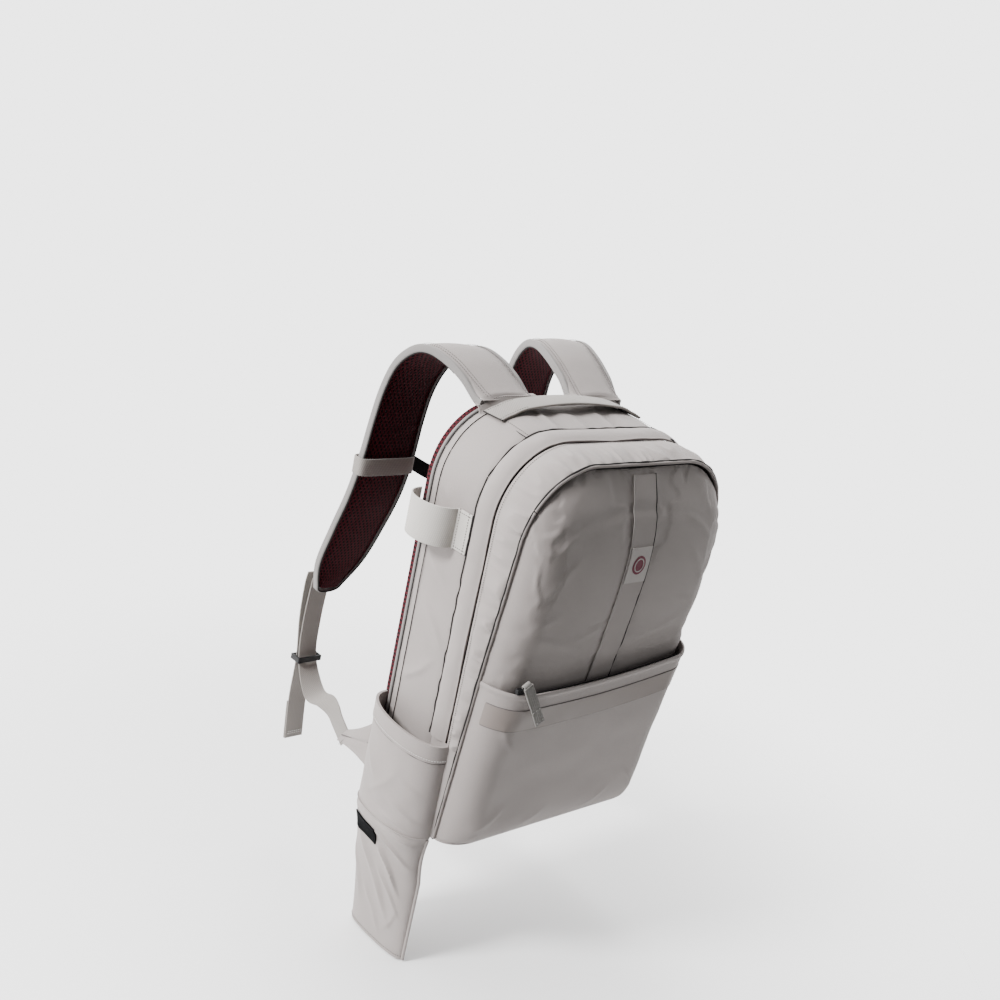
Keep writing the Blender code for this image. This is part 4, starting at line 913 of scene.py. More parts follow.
def make_pocket():
    """The front pocket's wall with its turned edge, the smooth band and the zip behind the edge."""
    grid, x, height = front_grid(level(0), pocket_line, 90, 150, pocket_skin)
    roll = 0.0012 * dip(pocket_line(x) - height - 0.003, 0.003)
    wall = shell("pocket_cloth", raised(grid, roll), WALL * 0.9, FABRIC)
    bend_at_crease(wall, 0.17, 0.012, 0.03, "fabric_warm_grey", ("pocket_wall_upper", "pocket_wall_lower"))
    band_grid, _, _ = front_grid(lambda x: pocket_line(x, 0.046), lambda x: pocket_line(x, 0.020), 14, 150,
                                 lambda x, z: pocket_skin(x, z) + 0.0009, HALF - 0.0045)
    band = shell("pocket_band_film", band_grid, 0.0008, BAND)
    settle(band, "front_door", ("pocket_band",))
    x = np.linspace(-HALF + 0.005, HALF - 0.005, 160)
    for label, drop in (("upper", 0.0196), ("lower", 0.0464)):
        height = pocket_line(x, drop)
        line = at(x, front_depth(x, height) + pocket_skin(x, height) + 0.0002, height)
        trim = sweep("band_trim_" + label, line, (0.0, 0.0, 1.0), band_section(0.0009, 0.0008), THREAD)
        settle(trim, "front_door")
    tape_grid, _, _ = front_grid(lambda x: pocket_line(x, 0.011), lambda x: pocket_line(x, 0.0005), 4, 90,
                                 lambda x, z: pocket_skin(x, z) - WALL - 0.0012, HALF - EDGE_ROUND)
    tape = shell("pocket_zip_cloth", tape_grid, 0.0008, BLACK_WEAVE)
    settle(tape, "front_door", ("pocket_zip_tape",))


def make_strip():
    """The strip down the middle of the front and its plain woven label."""
    foot, top = 0.185, HEIGHT - TOP_DROP - 0.008

    def on_front(lift):
        return lambda x, height: front_folds(x, height) + lift

    strip_grid, _, _ = front_grid(level(foot), level(top), 90, 12, on_front(0.0018), STRIP_HALF)
    strip = shell("centre_strip_cloth", strip_grid, PANEL_CLOTH, FABRIC)
    settle(strip, "front_door", ("centre_strip",))
    height = np.linspace(foot + 0.001, top, 160)
    for side in (-1, 1):
        x = side * (STRIP_HALF + 0.0006) + 0 * height
        line = at(x, front_depth(x, height) + on_front(0.0012)(x, height), height)
        # the right edge gets a dark cord of painted shade, and the left edge, facing the key lamp, a pale
        # band of painted highlight
        if side > 0:
            cord = seam_shade_cord("strip_seam_shade_right", line, 0.0010, 0.0006, 64)
        else:
            cord = sweep("strip_highlight_left", line, (1.0, 0.0, 0.0), band_section(0.0012, 0.0012), LABEL_AND_HIGHLIGHT)
        settle(cord, "front_door")
    grid, _, _ = front_grid(level(LABEL_LOW), level(LABEL_HIGH), 12, 12, on_front(0.0028), STRIP_HALF - 0.001)
    settle(shell("label_cloth", grid, LABEL_CLOTH, LABEL_AND_HIGHLIGHT), "front_door", ("emblem_patch",))
    for name, outer, inner, lift, material in (("emblem_disc", 0.0105, 0.0002, 0.0032, EMBLEM),
                                               ("emblem_ring", 0.0078, 0.0066, 0.0035, LABEL_AND_HIGHLIGHT)):
        radius = np.linspace(outer, inner, 6)[:, None]
        angle = np.linspace(0, math.tau, 49)[None, :]
        x = radius * np.cos(angle) * 0.9
        height = (LABEL_LOW + LABEL_HIGH) / 2 + radius * np.sin(angle)
        grid = at(x, front_depth(x, height) + on_front(lift)(x, height), height)
        settle(shell(name, grid, THIN_CLOTH, material), "front_door")


def make_base():
    """The base: one slightly sagging panel with a seam round it."""
    across = np.linspace(-1, 1, 90)[None, :]
    share = np.linspace(0, 1, 50)[:, None]
    x = (HALF - 0.0010) * np.sin(math.pi / 2 * across) + 0 * share
    start = PAD_DEPTH + 0.001
    last = front_depth(x, 0 * x) + CLOTH + WALL * 0.5
    depth = start + (last - start) * share
    grid = at(x, depth, 0.0008 + 0 * x)
    sag = 0.0016 * np.sin(math.pi * share) ** 0.5 * np.cos(math.pi / 2 * across) ** 0.3
    grid[..., 2] -= sag * (0.8 + 0.2 * noise(grid, 0.03, 81))
    panel = shell("base_cloth", grid, 0.0018, FABRIC)
    settle(panel, "pack", ("base_panel",))
    x = HALF * np.sin(np.linspace(-math.pi / 2, math.pi / 2, 200))
    line = at(x, front_depth(x, 0 * x) + WALL + CLOTH, 0 * x)
    edge = sweep("base_piping", line, sideways(line), round_section(0.0014, 8), FABRIC)
    settle(edge, "pack")


# ---- the back and the inside ---------------------------------------------------------------------
def back_outline(depth, inset):
    """The closed outline of the back: over the arch, round two small corners and along the base."""
    corner = 0.014
    arc = arch(np.linspace(-arch_reach(corner), arch_reach(corner), 500), 0.0, -inset, corner)
    x, height = arc[:, 0], arc[:, 2] - GROUND
    turn = np.linspace(0, math.pi / 2, 8)[1:]
    side = HALF - inset
    x = np.concatenate((x, side - corner * (1 - np.cos(turn)), corner * (1 - np.cos(turn[::-1])) - side))
    height = np.concatenate((height, corner * (1 - np.sin(turn)), corner * (1 - np.sin(turn[::-1]))))
    outline = np.stack((x, height), axis=-1)
    x, height = evened(outline, outline, 500).T
    return at(x, depth, np.maximum(height, 0) + inset)


def back_half_width(height, inset):
    """Half the back's width at a height, a distance inside its edge."""
    radius = CORNER - inset
    above = np.clip(height - (HEIGHT - CORNER), 0, radius * 0.9995)
    return HALF - CORNER + np.sqrt(radius ** 2 - above ** 2)


def make_back_pad():
    """Padded back of spacer mesh: two long pads and a hip pad with channels between them."""
    inset = 0.004
    low, high = inset, HEIGHT - inset
    height = low + (high - low) * np.linspace(0, 1, 150)[:, None]
    foot_radius = 0.012
    below = np.clip(foot_radius - (height - low), 0, foot_radius)
    half = back_half_width(height, inset) - (foot_radius - np.sqrt(foot_radius ** 2 - below ** 2))
    x = half * np.sin(math.pi / 2 * np.linspace(-1, 1, 100))[None, :]
    height = height + 0 * x
    edge = np.minimum(np.minimum(half - np.abs(x), height - low), high - height)
    channel = np.where(height < HIP_PAD_TOP, 1.0, np.abs(np.abs(x) - BACK_CHANNEL))
    groove = np.minimum(channel, np.abs(height - HIP_PAD_TOP))
    rim = 0.004
    thick = rim + 0.0078 * smooth(0.0, 0.016, edge) * (0.25 + 0.75 * smooth(0.001, 0.010, groove))
    valley = (np.abs(x) < BACK_CHANNEL) & (height > HIP_PAD_TOP)
    thick = np.where(valley, rim + 0.003 * smooth(0.0, 0.010, groove), thick)
    outer, inner = at(x, PAD_DEPTH - thick, height), at(x, PAD_DEPTH, height)
    pad = shell("back_pad_mesh", outer, rim, MESH, inner=inner)
    held = (edge < 0.004) | (groove < 0.004)
    puffed(pad, np.concatenate((held.ravel(), np.ones(held.size, bool))), *BACK_FILL)
    places = read_points(pad.data)
    places[:, 1] = np.minimum(places[:, 1], BACK_FACE + 0.002)
    pad.data.vertices.foreach_set("co", places.ravel())
    settle(pad, "pack", ("back_pad",))
    for name, depth, edge_inset, width, material, slot in (
            ("back_binding", PAD_DEPTH - 0.003, 0.0015, 0.0075, MESH, "air_mesh_burgundy"),
            ("back_edge_binding", PAD_DEPTH + 0.0022, 0.0, 0.0040, BINDING, "fabric_warm_grey")):
        line = back_outline(depth, edge_inset)
        binding = sweep(name, line, (0.0, 1.0, 0.0), band_section(width, 0.0030), material, closed=True)
        settle(binding, "pack")


def flat_panel(name, depth, inset, foot, top, thick, seed, ripple):
    """A standing lining panel across the inside."""
    height = foot + (top - foot) * np.linspace(0, 1, 60)[:, None]
    x = back_half_width(height, inset) * np.linspace(-1, 1, 70)[None, :]
    height = height + 0 * x
    rippled = depth + ripple * noise(spread(x, height), 0.06, seed)
    return shell(name, at(x, rippled, height), thick, INSIDE, core=np.array((0.0, 1.0, 0.0)))


def make_inside():
    """Lining in front of the back wall, and the padded sleeve of the laptop slot."""
    lining = flat_panel("back_lining", 0.0176, 0.0028, 0.003, HEIGHT - 0.0028 - 0.001, 0.0007, 91, 0.0002)
    settle(lining, "pack", ("back_wall",))
    slot_depth, slot_top = 0.0455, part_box("laptop_divider")[1].z - GROUND
    divider = flat_panel("laptop_sleeve", slot_depth, 0.0092, 0.004, slot_top, 0.0040, 92, 0.0008)
    settle(divider, "pack", ("laptop_divider",))
    line = at(np.linspace(-HALF + 0.0095, HALF - 0.0095, 60), slot_depth, slot_top)
    edge = sweep("laptop_sleeve_binding", line, (0.0, 1.0, 0.0), band_section(0.0058, 0.0030), BINDING)
    settle(edge, "pack")


# ---- stick pocket, sleeve and loop ---------------------------------------------------------------
BOW_BACK = 0.008
BOW_FRONT = 0.122
BOW_BULGE = 0.032
HEM_BACK = 0.121
HEM_FRONT = 0.112
HEM = 0.020


def bow(back, front, bulge, shares):
    """(x, depth) round a D-shaped bow on the left side; shares run from 0 at the back to 1 at the front."""
    angle = math.pi * shares
    depth = (back + front) / 2 - (front - back) / 2 * np.cos(angle)
    return -(HALF + CLOTH + bulge * np.sin(angle) ** 0.75), depth


STICK_POCKET_CREASES = (
    ((0.118, 0.016), (0.074, 0.034), 0.0050, 0.0022), ((0.116, 0.050), (0.080, 0.062), 0.0060, 0.0014),
    ((0.020, 0.088), (0.050, 0.040), 0.0070, 0.0018), ((0.116, 0.004), (0.066, 0.010), 0.0035, 0.0018),
    ((0.040, 0.020), (0.088, 0.070), 0.0080, 0.0012),
)


def pocket_side(rows, feet, tops, out, seed):
    """Grid up the stick pocket between two slanting lines of heights."""
    shares = np.linspace(0, 1, 90)[None, :]
    x, depth = bow(BOW_BACK, BOW_FRONT, BOW_BULGE, shares)
    way = (depth - BOW_BACK) / (BOW_FRONT - BOW_BACK)
    foot = feet[0] + (feet[1] - feet[0]) * way
    top = tops[0] + (tops[1] - tops[0]) * way
    height = foot + (top - foot) * np.linspace(0, 1, rows)[:, None]
    grid = at(x + 0 * height, depth + 0 * height, height)
    inside = np.array((-HALF, -(BOW_BACK + BOW_FRONT) / 2, GROUND + 0.06))
    ends = np.sin(math.pi * shares) ** 0.6
    slanted = grid @ np.array(((1, 0, 0), (0, 0.8, -0.6), (0, 0.6, 0.8)))
    slack = 0.0030 * noise(slanted, (0.2, 0.045, 0.028), seed) + 0.0010 * noise(grid, 0.02, seed + 1)
    low = smooth(0.055, 0.012, height)
    slack = slack * (0.45 + 0.75 * low) * smooth(0.135, 0.06, height) * smooth(-0.002, 0.022, height)
    slack = slack + creases(depth, height, STICK_POCKET_CREASES) * smooth(0.118, 0.095, height)
    return raised(grid, out + slack * ends, inside), inside


def make_stick_pocket():
    """The open-topped pocket for the stick's foot, with its hem."""
    hem_top, hem_foot = (HEM_BACK, HEM_FRONT), (HEM_BACK - HEM, HEM_FRONT - HEM)
    seed = 101
    wall, inside = pocket_side(70, (-0.001, -0.001), hem_top, 0.0, seed)
    cloth = shell("stick_pocket_cloth", wall, LIGHT_CLOTH, FABRIC, core=inside)
    settle(cloth, "pack", ("stick_pocket",))
    hem, _ = pocket_side(16, hem_foot, (HEM_BACK + 0.0006, HEM_FRONT + 0.0006), 0.0009, seed)
    edge = shell("stick_pocket_hem_cloth", hem, 0.0030, FABRIC, core=inside)
    settle(edge, "pack", ("stick_pocket_hem",))
    line, _ = pocket_side(2, (hem_foot[0] + 0.0035, hem_foot[1] + 0.0035), hem_top, 0.0013, seed)
    stitch("pack_pale", line[0])
    # a dark cord of painted shade under the hem's fold
    low, _ = pocket_side(2, hem_foot, hem_top, 0.0006, seed)
    settle_seam_shade("hem_fold_shade", low[0], radius=0.0004, wobble=0.0002)


SLEEVE_LENGTH = -SLEEVE_FOOT
SLEEVE_FOOT_BACK = 0.026
SLEEVE_FOOT_FRONT = 0.121
SLEEVE_THICK = 0.024
SLEEVE_FOOT_THICK = 0.011
SLEEVE_GIRTH = 0.27


def sleeve_point(turn, drop):
    """Outer surface of the drop sleeve: turn goes round it from the back edge, over the outer face."""
    share = smooth(0.0, 1.0, drop / SLEEVE_LENGTH) * 0.5 + 0.5 * drop / SLEEVE_LENGTH
    flare = smooth(0.035, 0.0, drop)
    back = BOW_BACK + (SLEEVE_FOOT_BACK - BOW_BACK) * share
    front = BOW_FRONT + (SLEEVE_FOOT_FRONT - BOW_FRONT) * share
    front = front - 0.004 * np.sin(math.pi * np.clip(drop / 0.06, 0, 1))
    thick = SLEEVE_THICK + (SLEEVE_FOOT_THICK - SLEEVE_THICK) * share + (BOW_BULGE - SLEEVE_THICK) * flare
    depth = (back + front) / 2 - (front - back) / 2 * np.sign(np.cos(turn)) * np.abs(np.cos(turn)) ** 0.8
    out = np.sin(turn)
    bulge = np.where(out > 0, thick * np.abs(out) ** 0.75, 0.0)
    return at(-(HALF + 0.0010 + bulge + 0.0006 * (out > 0)), depth, -0.0004 - drop)


SLEEVE_CREASES = (
    ((0.066, 0.030), (0.108, 0.084), 0.0050, 0.0036), ((0.030, 0.034), (0.098, 0.128), 0.0070, 0.0030),
    ((0.060, 0.014), (0.118, 0.046), 0.0042, 0.0030), ((0.074, 0.003), (0.122, 0.014), 0.0034, 0.0028),
    ((0.070, 0.060), (0.112, 0.112), 0.0045, 0.0022), ((0.018, 0.060), (0.046, 0.132), 0.0060, 0.0018),
    ((0.052, 0.100), (0.086, 0.150), 0.0050, 0.0016), ((0.108, 0.100), (0.090, 0.140), 0.0050, 0.0014),
)


def sleeve_folds(grid):
    """Long slanting creases from the sewn fastener down to the front edge."""
    slanted = grid @ np.array(((1, 0, 0), (0, 0.82, 0.57), (0, -0.57, 0.82)))
    fold = noise(slanted, (0.3, 0.019, 0.085), 111)
    drop = GROUND - grid[..., 2]
    hollow = -0.0022 * dip(drop - 0.004, 0.0032)
    ridges = creases(-grid[..., 1], drop, SLEEVE_CREASES)
    return (0.0014 * fold + 1.3 * ridges) * smooth(0.0, 0.012, drop) + hollow


def make_sleeve():
    """The fold-down sleeve: a flattened tube sewn shut at the foot, with its touch fastener."""
    turns = np.linspace(0, math.tau, 121)[None, :-1]
    drops = (SLEEVE_LENGTH - 0.0006) * np.linspace(0, 1, 90)[:, None]
    grid = sleeve_point(turns, drops)
    middle = grid.mean(axis=1, keepdims=True)
    outward = unit(grid - middle)
    outward[..., 1:] *= 0.3
    flat_foot = smooth(0.0, 0.015, SLEEVE_LENGTH - drops)
    outer_side = smooth(0.0, 0.5, np.sin(turns))
    grid = grid + unit(outward) * (sleeve_folds(grid) * flat_foot * outer_side)[..., None]
    rows, cols = grid.shape[:2]
    wall = 0.0012
    inner = middle + (grid - middle) * 0.93
    inner[-1] = grid[-1] + (0, 0, wall)
    both = np.concatenate((grid.reshape(-1, 3), inner.reshape(-1, 3)))
    index = np.arange(rows * cols).reshape(rows, cols)
    after = np.roll(index, -1, axis=1)
    quads = np.stack((index[:-1], after[:-1], after[1:], index[1:]), axis=-1).reshape(-1, 4)
    count = rows * cols
    lip = np.stack((index[0], after[0], after[0] + count, index[0] + count), axis=-1)
    faces = np.concatenate((quads, quads[:, ::-1] + count, lip[:, ::-1])).tolist()
    faces += [index[-1].tolist(), (index[-1, ::-1] + count).tolist()]
    u, v = np.broadcast_arrays(np.linspace(0, SLEEVE_GIRTH, cols)[None, :], drops)
    uv = np.stack((u, v), axis=-1).reshape(-1, 2)
    sleeve = make_piece("drop_sleeve_cloth", both, faces, np.concatenate((uv, uv)), FABRIC)
    top = GROUND - 0.001
    fold = (("pack", "drop_sleeve"), (-HALF, -0.06, top), (-HALF, -0.06, top - 0.022), "fabric_warm_grey")
    bend(sleeve, *fold, ("drop_sleeve",))
    drop = np.linspace(0.004, SLEEVE_LENGTH - 0.001, 120)
    edge = sleeve_point(np.full_like(drop, math.pi), drop) + (-0.0016, -0.0006, 0)
    bend(sweep("sleeve_edge_binding", edge, (0.0, 1.0, 0.0), band_section(0.0040, 0.0036), FABRIC), *fold)
    turn = np.linspace(0.02, math.pi - 0.02, 60)
    foot = sleeve_point(turn, np.full_like(turn, SLEEVE_LENGTH - 0.005)) + (-0.0006, 0, 0)
    stitch("sleeve_grey", foot)
    low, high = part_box("sleeve_fastener")
    patch_depth = np.linspace(-high.y, -low.y, 14)[None, :]
    patch_drop = np.linspace(GROUND - high.z, GROUND - low.z, 10)[:, None]
    turn = np.arccos(np.clip((0.067 - patch_depth) / 0.060, -1, 1))
    face = sleeve_point(turn + 0 * patch_drop, patch_drop + 0 * turn)
    face = face + (-0.0026, 0, 0) + sleeve_folds(face)[..., None] * (-0.8, 0, 0)
    patch = shell("fastener_patch", face, 0.0016, HOOKS, core=np.array((0.0, -0.07, GROUND - 0.02)))
    settle(patch, "drop_sleeve", ("sleeve_fastener",))


def make_stick_loop():
    """Wide webbing loop, sewn at the back edge and with a flat tab up to the flap's seam."""
    middle = (LOOP_LOW.z + LOOP_HIGH.z) / 2
    width = LOOP_HIGH.z - LOOP_LOW.z
    back, front = -LOOP_HIGH.y, -LOOP_LOW.y
    bulge = -LOOP_LOW.x - HALF - 0.0008
    x, depth = bow(back, front, bulge, np.linspace(0.02, 0.97, 46))
    flat_depth = np.linspace(front + 0.003, SEAM_OUT - 0.0005, 14)
    flat_part = points(-HALF - 0.0034, -flat_depth, middle)
    path = np.concatenate((points(x, -depth, middle), flat_part))
    section = band_section(width, 0.0019, 0.0008)
    loop = sweep("stick_loop_webbing", path, (0.0, 0.0, 1.0), section, LOOP_WEBBING)
    settle(loop, "pack", ("stick_loop", "stick_loop_tab"))
    # a dark cord of painted shade along the tab's sewn end
    edge = points(-HALF - 0.0036, -SEAM_OUT + 0.0002, middle + width / 2 * np.linspace(-1, 1, 20))
    settle_seam_shade("loop_end_seam_shade", edge, 0.0011, 0.0003)
    for depth in (front + 0.003, SEAM_OUT - 0.005):
        stitch("pack_grey", edge + (-0.0011, SEAM_OUT - depth, 0))
    for side in (-1, 1):
        stitch("pack_grey", flat_part + (-0.0012, 0, side * (width / 2 - 0.003)))


# ---- grab handle ---------------------------------------------------------------------------------
def make_handle():
    """Webbing handle over the top, in two halves that meet in the middle, with its sewn ends."""
    width = HANDLE_HIGH.y - HANDLE_LOW.y
    middle = (HANDLE_HIGH.y + HANDLE_LOW.y) / 2
    reach = HANDLE_HIGH.x
    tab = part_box("handle_tab_right")[1].x
    thick = 0.0026
    x = np.linspace(0, tab, 60)
    share = np.clip(x / reach, 0, 1)
    ground = top_height(-HANDLE_HIGH.y) + WALL - CORNER
    ground = ground + np.sqrt(CORNER ** 2 - np.maximum(x - FLAT, 0) ** 2)
    height = ground + 0.0082 * np.cos(math.pi / 2 * share) ** 0.8 + thick / 2
    sections = np.stack([band_section(width - 0.002 * (1 - v), thick, 0.0011) for v in share])
    for label, sign in SIGN.items():
        path = points(sign * x, middle, height + GROUND)
        half = sweep("grab_handle_" + label, path, (0.0, 1.0, 0.0), sections, WEBBING)
        tabs = "handle_tab_" + label
        bend(half, ("pack", "grab_handle"), (sign * (reach + 0.002), middle, 0),
             (sign * reach * 0.55, middle, 0), "webbing_grey", ("grab_handle", tabs) if sign > 0 else (tabs,))
        for side in (-1, 1):
            stitch("pack_grey", path[40:] + (0, side * (width / 2 - 0.003), thick / 2 + 0.0002))
        # a dark cord of painted shade under each half's sewn end
        end = path[-1] + points(0.0, width / 2 * np.linspace(-1, 1, 12), 0.0004)
        settle_seam_shade("handle_end_seam_shade_" + label, end, 0.0009, 0.0002)


# ---- shoulder straps -----------------------------------------------------------------------------
# a strap from its root: outwards, backwards, upwards, width
STRAP_LINE = (
    (-0.0010, -0.009, -0.0014, 0.074), (0.0000, 0.000, 0.0010, 0.074), (0.0040, 0.020, 0.012, 0.075),
    (0.0080, 0.042, 0.023, 0.077), (0.0140, 0.066, 0.0290, 0.078), (0.0200, 0.086, 0.0235, 0.075),
    (0.0270, 0.104, 0.004, 0.071), (0.0320, 0.114, -0.026, 0.068), (0.0360, 0.1175, -0.062, 0.068),
    (0.0400, 0.1190, -0.106, 0.070), (0.0440, 0.1250, -0.151, 0.071), (0.0500, 0.1360, -0.196, 0.069),
    (0.0590, 0.1460, -0.242, 0.060), (0.0690, 0.1490, -0.274, 0.030),
)
STRAP_ROOT = (0.068, -0.010, HEIGHT + 0.0028)
STRAP_REACH = {"left": 1.0, "right": 1.2}
STRAP_THICK = 0.0085
MESH_THICK = 0.0034


def strap_line(label):
    """Centres, widths and outward normals down a strap; the wearer is on the side away from the normals."""
    given = smooth_path(STRAP_LINE, 9)
    reach = STRAP_REACH[label]
    out, back, up, width = given.T
    height = STRAP_ROOT[2] + np.where(up > 0, up * reach, up)
    centres = points(SIGN[label] * (STRAP_ROOT[0] + out), STRAP_ROOT[1] + back * reach, height + GROUND)
    ahead = np.gradient(centres, axis=0)
    normal = unit(points(0.0, -ahead[:, 2], ahead[:, 1]))
    return centres, width, normal


def strap_surface(centres, width, normal, low, high, shares):
    """Grid over a strap between its edges, crowned from low at the edges to high in the middle."""
    crown = np.cos(math.pi / 2 * np.abs(shares)) ** 0.42 * (1 - 0.35 * dip(np.abs(shares) - 0.80, 0.03))
    across = width[:, None] / 2 * shares[None, :]
    grid = centres[:, None] + points(across, 0.0, 0.0)
    thin = smooth(-1.0, 9.0, np.arange(len(centres)))[:, None]
    return grid + normal[:, None] * (low + (high - low) * crown[None, :] * thin)[..., None]


def make_strap(label):
    """Padded strap: cloth outside, spacer mesh towards the wearer, bound along both edges."""
    centres, width, normal = strap_line(label)
    shares = np.sin(math.pi / 2 * np.linspace(-1, 1, 21))
    mid = (STRAP_THICK - MESH_THICK) / 2
    along = np.arange(len(centres))[:, None] + 0 * shares[None, :]
    held = (np.abs(shares)[None, :] > 0.86) | (along < 2) | (along > len(centres) - 3)
    for name, node, start, high, under, (cap, pressure), fill, material, slot in (
            ("strap_cloth_", "strap_pad_", 0, STRAP_THICK, 0.0004, STRAP_FILL, 0.6, FABRIC,
             "fabric_warm_grey"),
            ("strap_mesh_cloth_", "strap_mesh_", 10, -MESH_THICK, 0.0006, STRAP_MESH_FILL, 0.5, MESH,
             "air_mesh_burgundy")):
        part = (centres[start:], width[start:], normal[start:], mid)
        pad = shell(name + label, strap_surface(*part, high, shares), 0.003, material,
                    inner=strap_surface(*part, mid - under, shares))
        sewn = held[start:].ravel()
        puffed(pad, np.concatenate((sewn, np.ones(sewn.size, bool))), cap, pressure)
        settle(pad, "strap_" + label, (node + label,))
    make_strap_edges(label, centres, width, normal, mid)


def make_root_cover(label):
    """The top panel's edge turned up over the end of a strap."""
    sign = SIGN[label]
    runs = sign * np.linspace(STRAP_ROOT[0] - 0.041, STRAP_ROOT[0] + 0.041, 50)[:, None]
    share = np.linspace(0, 1, 12)[None, :]
    depths = 0.0236 - 0.0126 * share
    out = 0.0010 + 0.0080 * smooth(0.0, 0.55, share)
    grid = arch(runs, depths) + points(0.0, 0.0, out + 0 * runs)
    cover = shell("strap_root_cover_" + label, grid, PANEL_CLOTH, FABRIC)
    settle(cover, "pack")
    stitch("pack_grey", grid[:, 5] + (0, 0, 0.0004))


def make_strap_edges(label, centres, width, normal, mid):
    """The binding round the strap, a dark cord of painted shade beside it and the row of stitches inside."""
    body = "strap_" + label
    side = np.array((1.0, 0.0, 0.0))
    left = centres - side * width[:, None] / 2 + normal * mid
    right = centres + side * width[:, None] / 2 + normal * mid
    turn = np.linspace(0, math.pi, 14)[1:-1]
    tip = centres[-1] + normal[-1] * mid
    ahead = unit(centres[-1] - centres[-2])
    cap = tip + (-side * width[-1] / 2) * np.cos(turn)[:, None] + ahead * (0.006 * np.sin(turn))[:, None]
    rim = np.concatenate((left[2:], cap, right[:1:-1]))
    facing = np.concatenate((normal[2:], np.broadcast_to(normal[-1], cap.shape), normal[:1:-1]))
    facing = unit(evened(rim, facing, 320))
    rim = evened(rim, rim, 320)
    way = np.arange(len(rim))[:, None]
    sink = smooth(13, 0, way) + smooth(len(rim) - 14, len(rim) - 1, way)
    rim = rim - facing * 0.0050 * sink
    binding = sweep("strap_binding_" + label, rim, facing, band_section(0.0088, 0.0036, 0.0017), BINDING)
    settle(binding, body)
    # a near-black cord of painted shade where the binding meets the pad
    shade = (rim - facing * 0.0046)[16:-16]
    edge = sweep("strap_binding_edge_" + label, shade, facing[16:-16], round_section(0.0008, 6), SEAM_SHADE)
    settle(edge, body)
    for edge in (-1, 1):
        for inset, lift, first in ((0.0062, 0.0, 3), (0.0092, 0.0012, 2)):
            line = centres + side * (edge * (width[:, None] / 2 - inset))
            line = line + normal * (STRAP_THICK * 0.78 + lift)
            stitch(body + "_grey", line[first:-2])


WING_TIP = (0.007, 0.062, 0.026)        # in from the side, back, height
WING_LEAN = math.radians(35)
WEBBING_WIDTH = 0.025
WEBBING_SECTION = band_section(WEBBING_WIDTH, 0.0017, 0.0008)


def wing_tip(label):
    return np.array((SIGN[label] * (HALF - WING_TIP[0]), WING_TIP[1], WING_TIP[2] + GROUND))


WING_EDGE = np.array((0.0, -math.sin(WING_LEAN), math.cos(WING_LEAN)))


def make_adjuster(label):
    """Webbing from the lock at the strap's end, through the keeper and with a twist into the wing."""
    centres, _, _ = strap_line(label)
    end = centres[-1]
    x = SIGN[label] * (HALF - 0.0105)
    back = end[1] + STRAP_THICK / 2 + 0.012
    fall = end[2] - 0.0012
    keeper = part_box("webbing_keeper_" + label)
    keep = (keeper[0].z + keeper[1].z) / 2
    tip = wing_tip(label)
    flat = np.array((1.0, 0.0, 0.0))
    route = [(x, back - 0.002, fall + 0.006, flat), (x, back + 0.003, (fall + keep) / 2, flat),
             (x, back, keep, flat)]
    for share, up, turn in ((0.73, 0.020, 0.35), (0.45, 0.022, 0.65), (0.27, 0.019, 0.90),
                            (0.14, 0.010, 1.0)):
        route.append((tip[0] + (x - tip[0]) * share, tip[1] + (back - tip[1]) * share, tip[2] + up,
                      flat * (1 - turn) + WING_EDGE * turn))
    route.append((*(tip + (0, -0.008, -0.004)), WING_EDGE))
    path = smooth_path([(*p[:3], *unit(p[3])) for p in route], 9)
    load = sweep("adjuster_webbing_cloth_" + label, path[:, :3], path[:, 3:], WEBBING_SECTION, WEBBING)
    bend(load, ("pack", "strap_" + label), tuple(tip), tuple(end), "webbing_grey",
         ("adjuster_webbing_" + label,))
    behind = back + 0.0115
    tail_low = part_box("webbing_tail_" + label)[0].z
    tail = [(x, behind - 0.003, fall + 0.010), (x, behind, fall - 0.008), (x, behind, (fall + keep) / 2),
            (x, back + 0.0055, keep), (x, behind - 0.0045, (keep + tail_low) / 2),
            (x, behind - 0.009, tail_low)]
    path = smooth_path(tail, 9)
    loose = sweep("webbing_tail_cloth_" + label, path, flat, WEBBING_SECTION, WEBBING)
    settle(loose, "strap_" + label, ("webbing_tail_" + label,))
    section = band_section(WEBBING_WIDTH + 0.0012, 0.0020, 0.0009)
    turned = sweep("webbing_tail_fold_" + label, path[-9:] + (0, 0.0016, 0), flat, section, WEBBING)
    settle(turned, "strap_" + label)
    for drop in (0.006, 0.0085):
        line = points(x + np.linspace(-0.009, 0.009, 12), path[-1][1] - 0.0012, tail_low + drop)
        stitch("strap_" + label + "_pale", line)
        stitch("strap_" + label + "_pale", line + (0, 0.0042, 0))


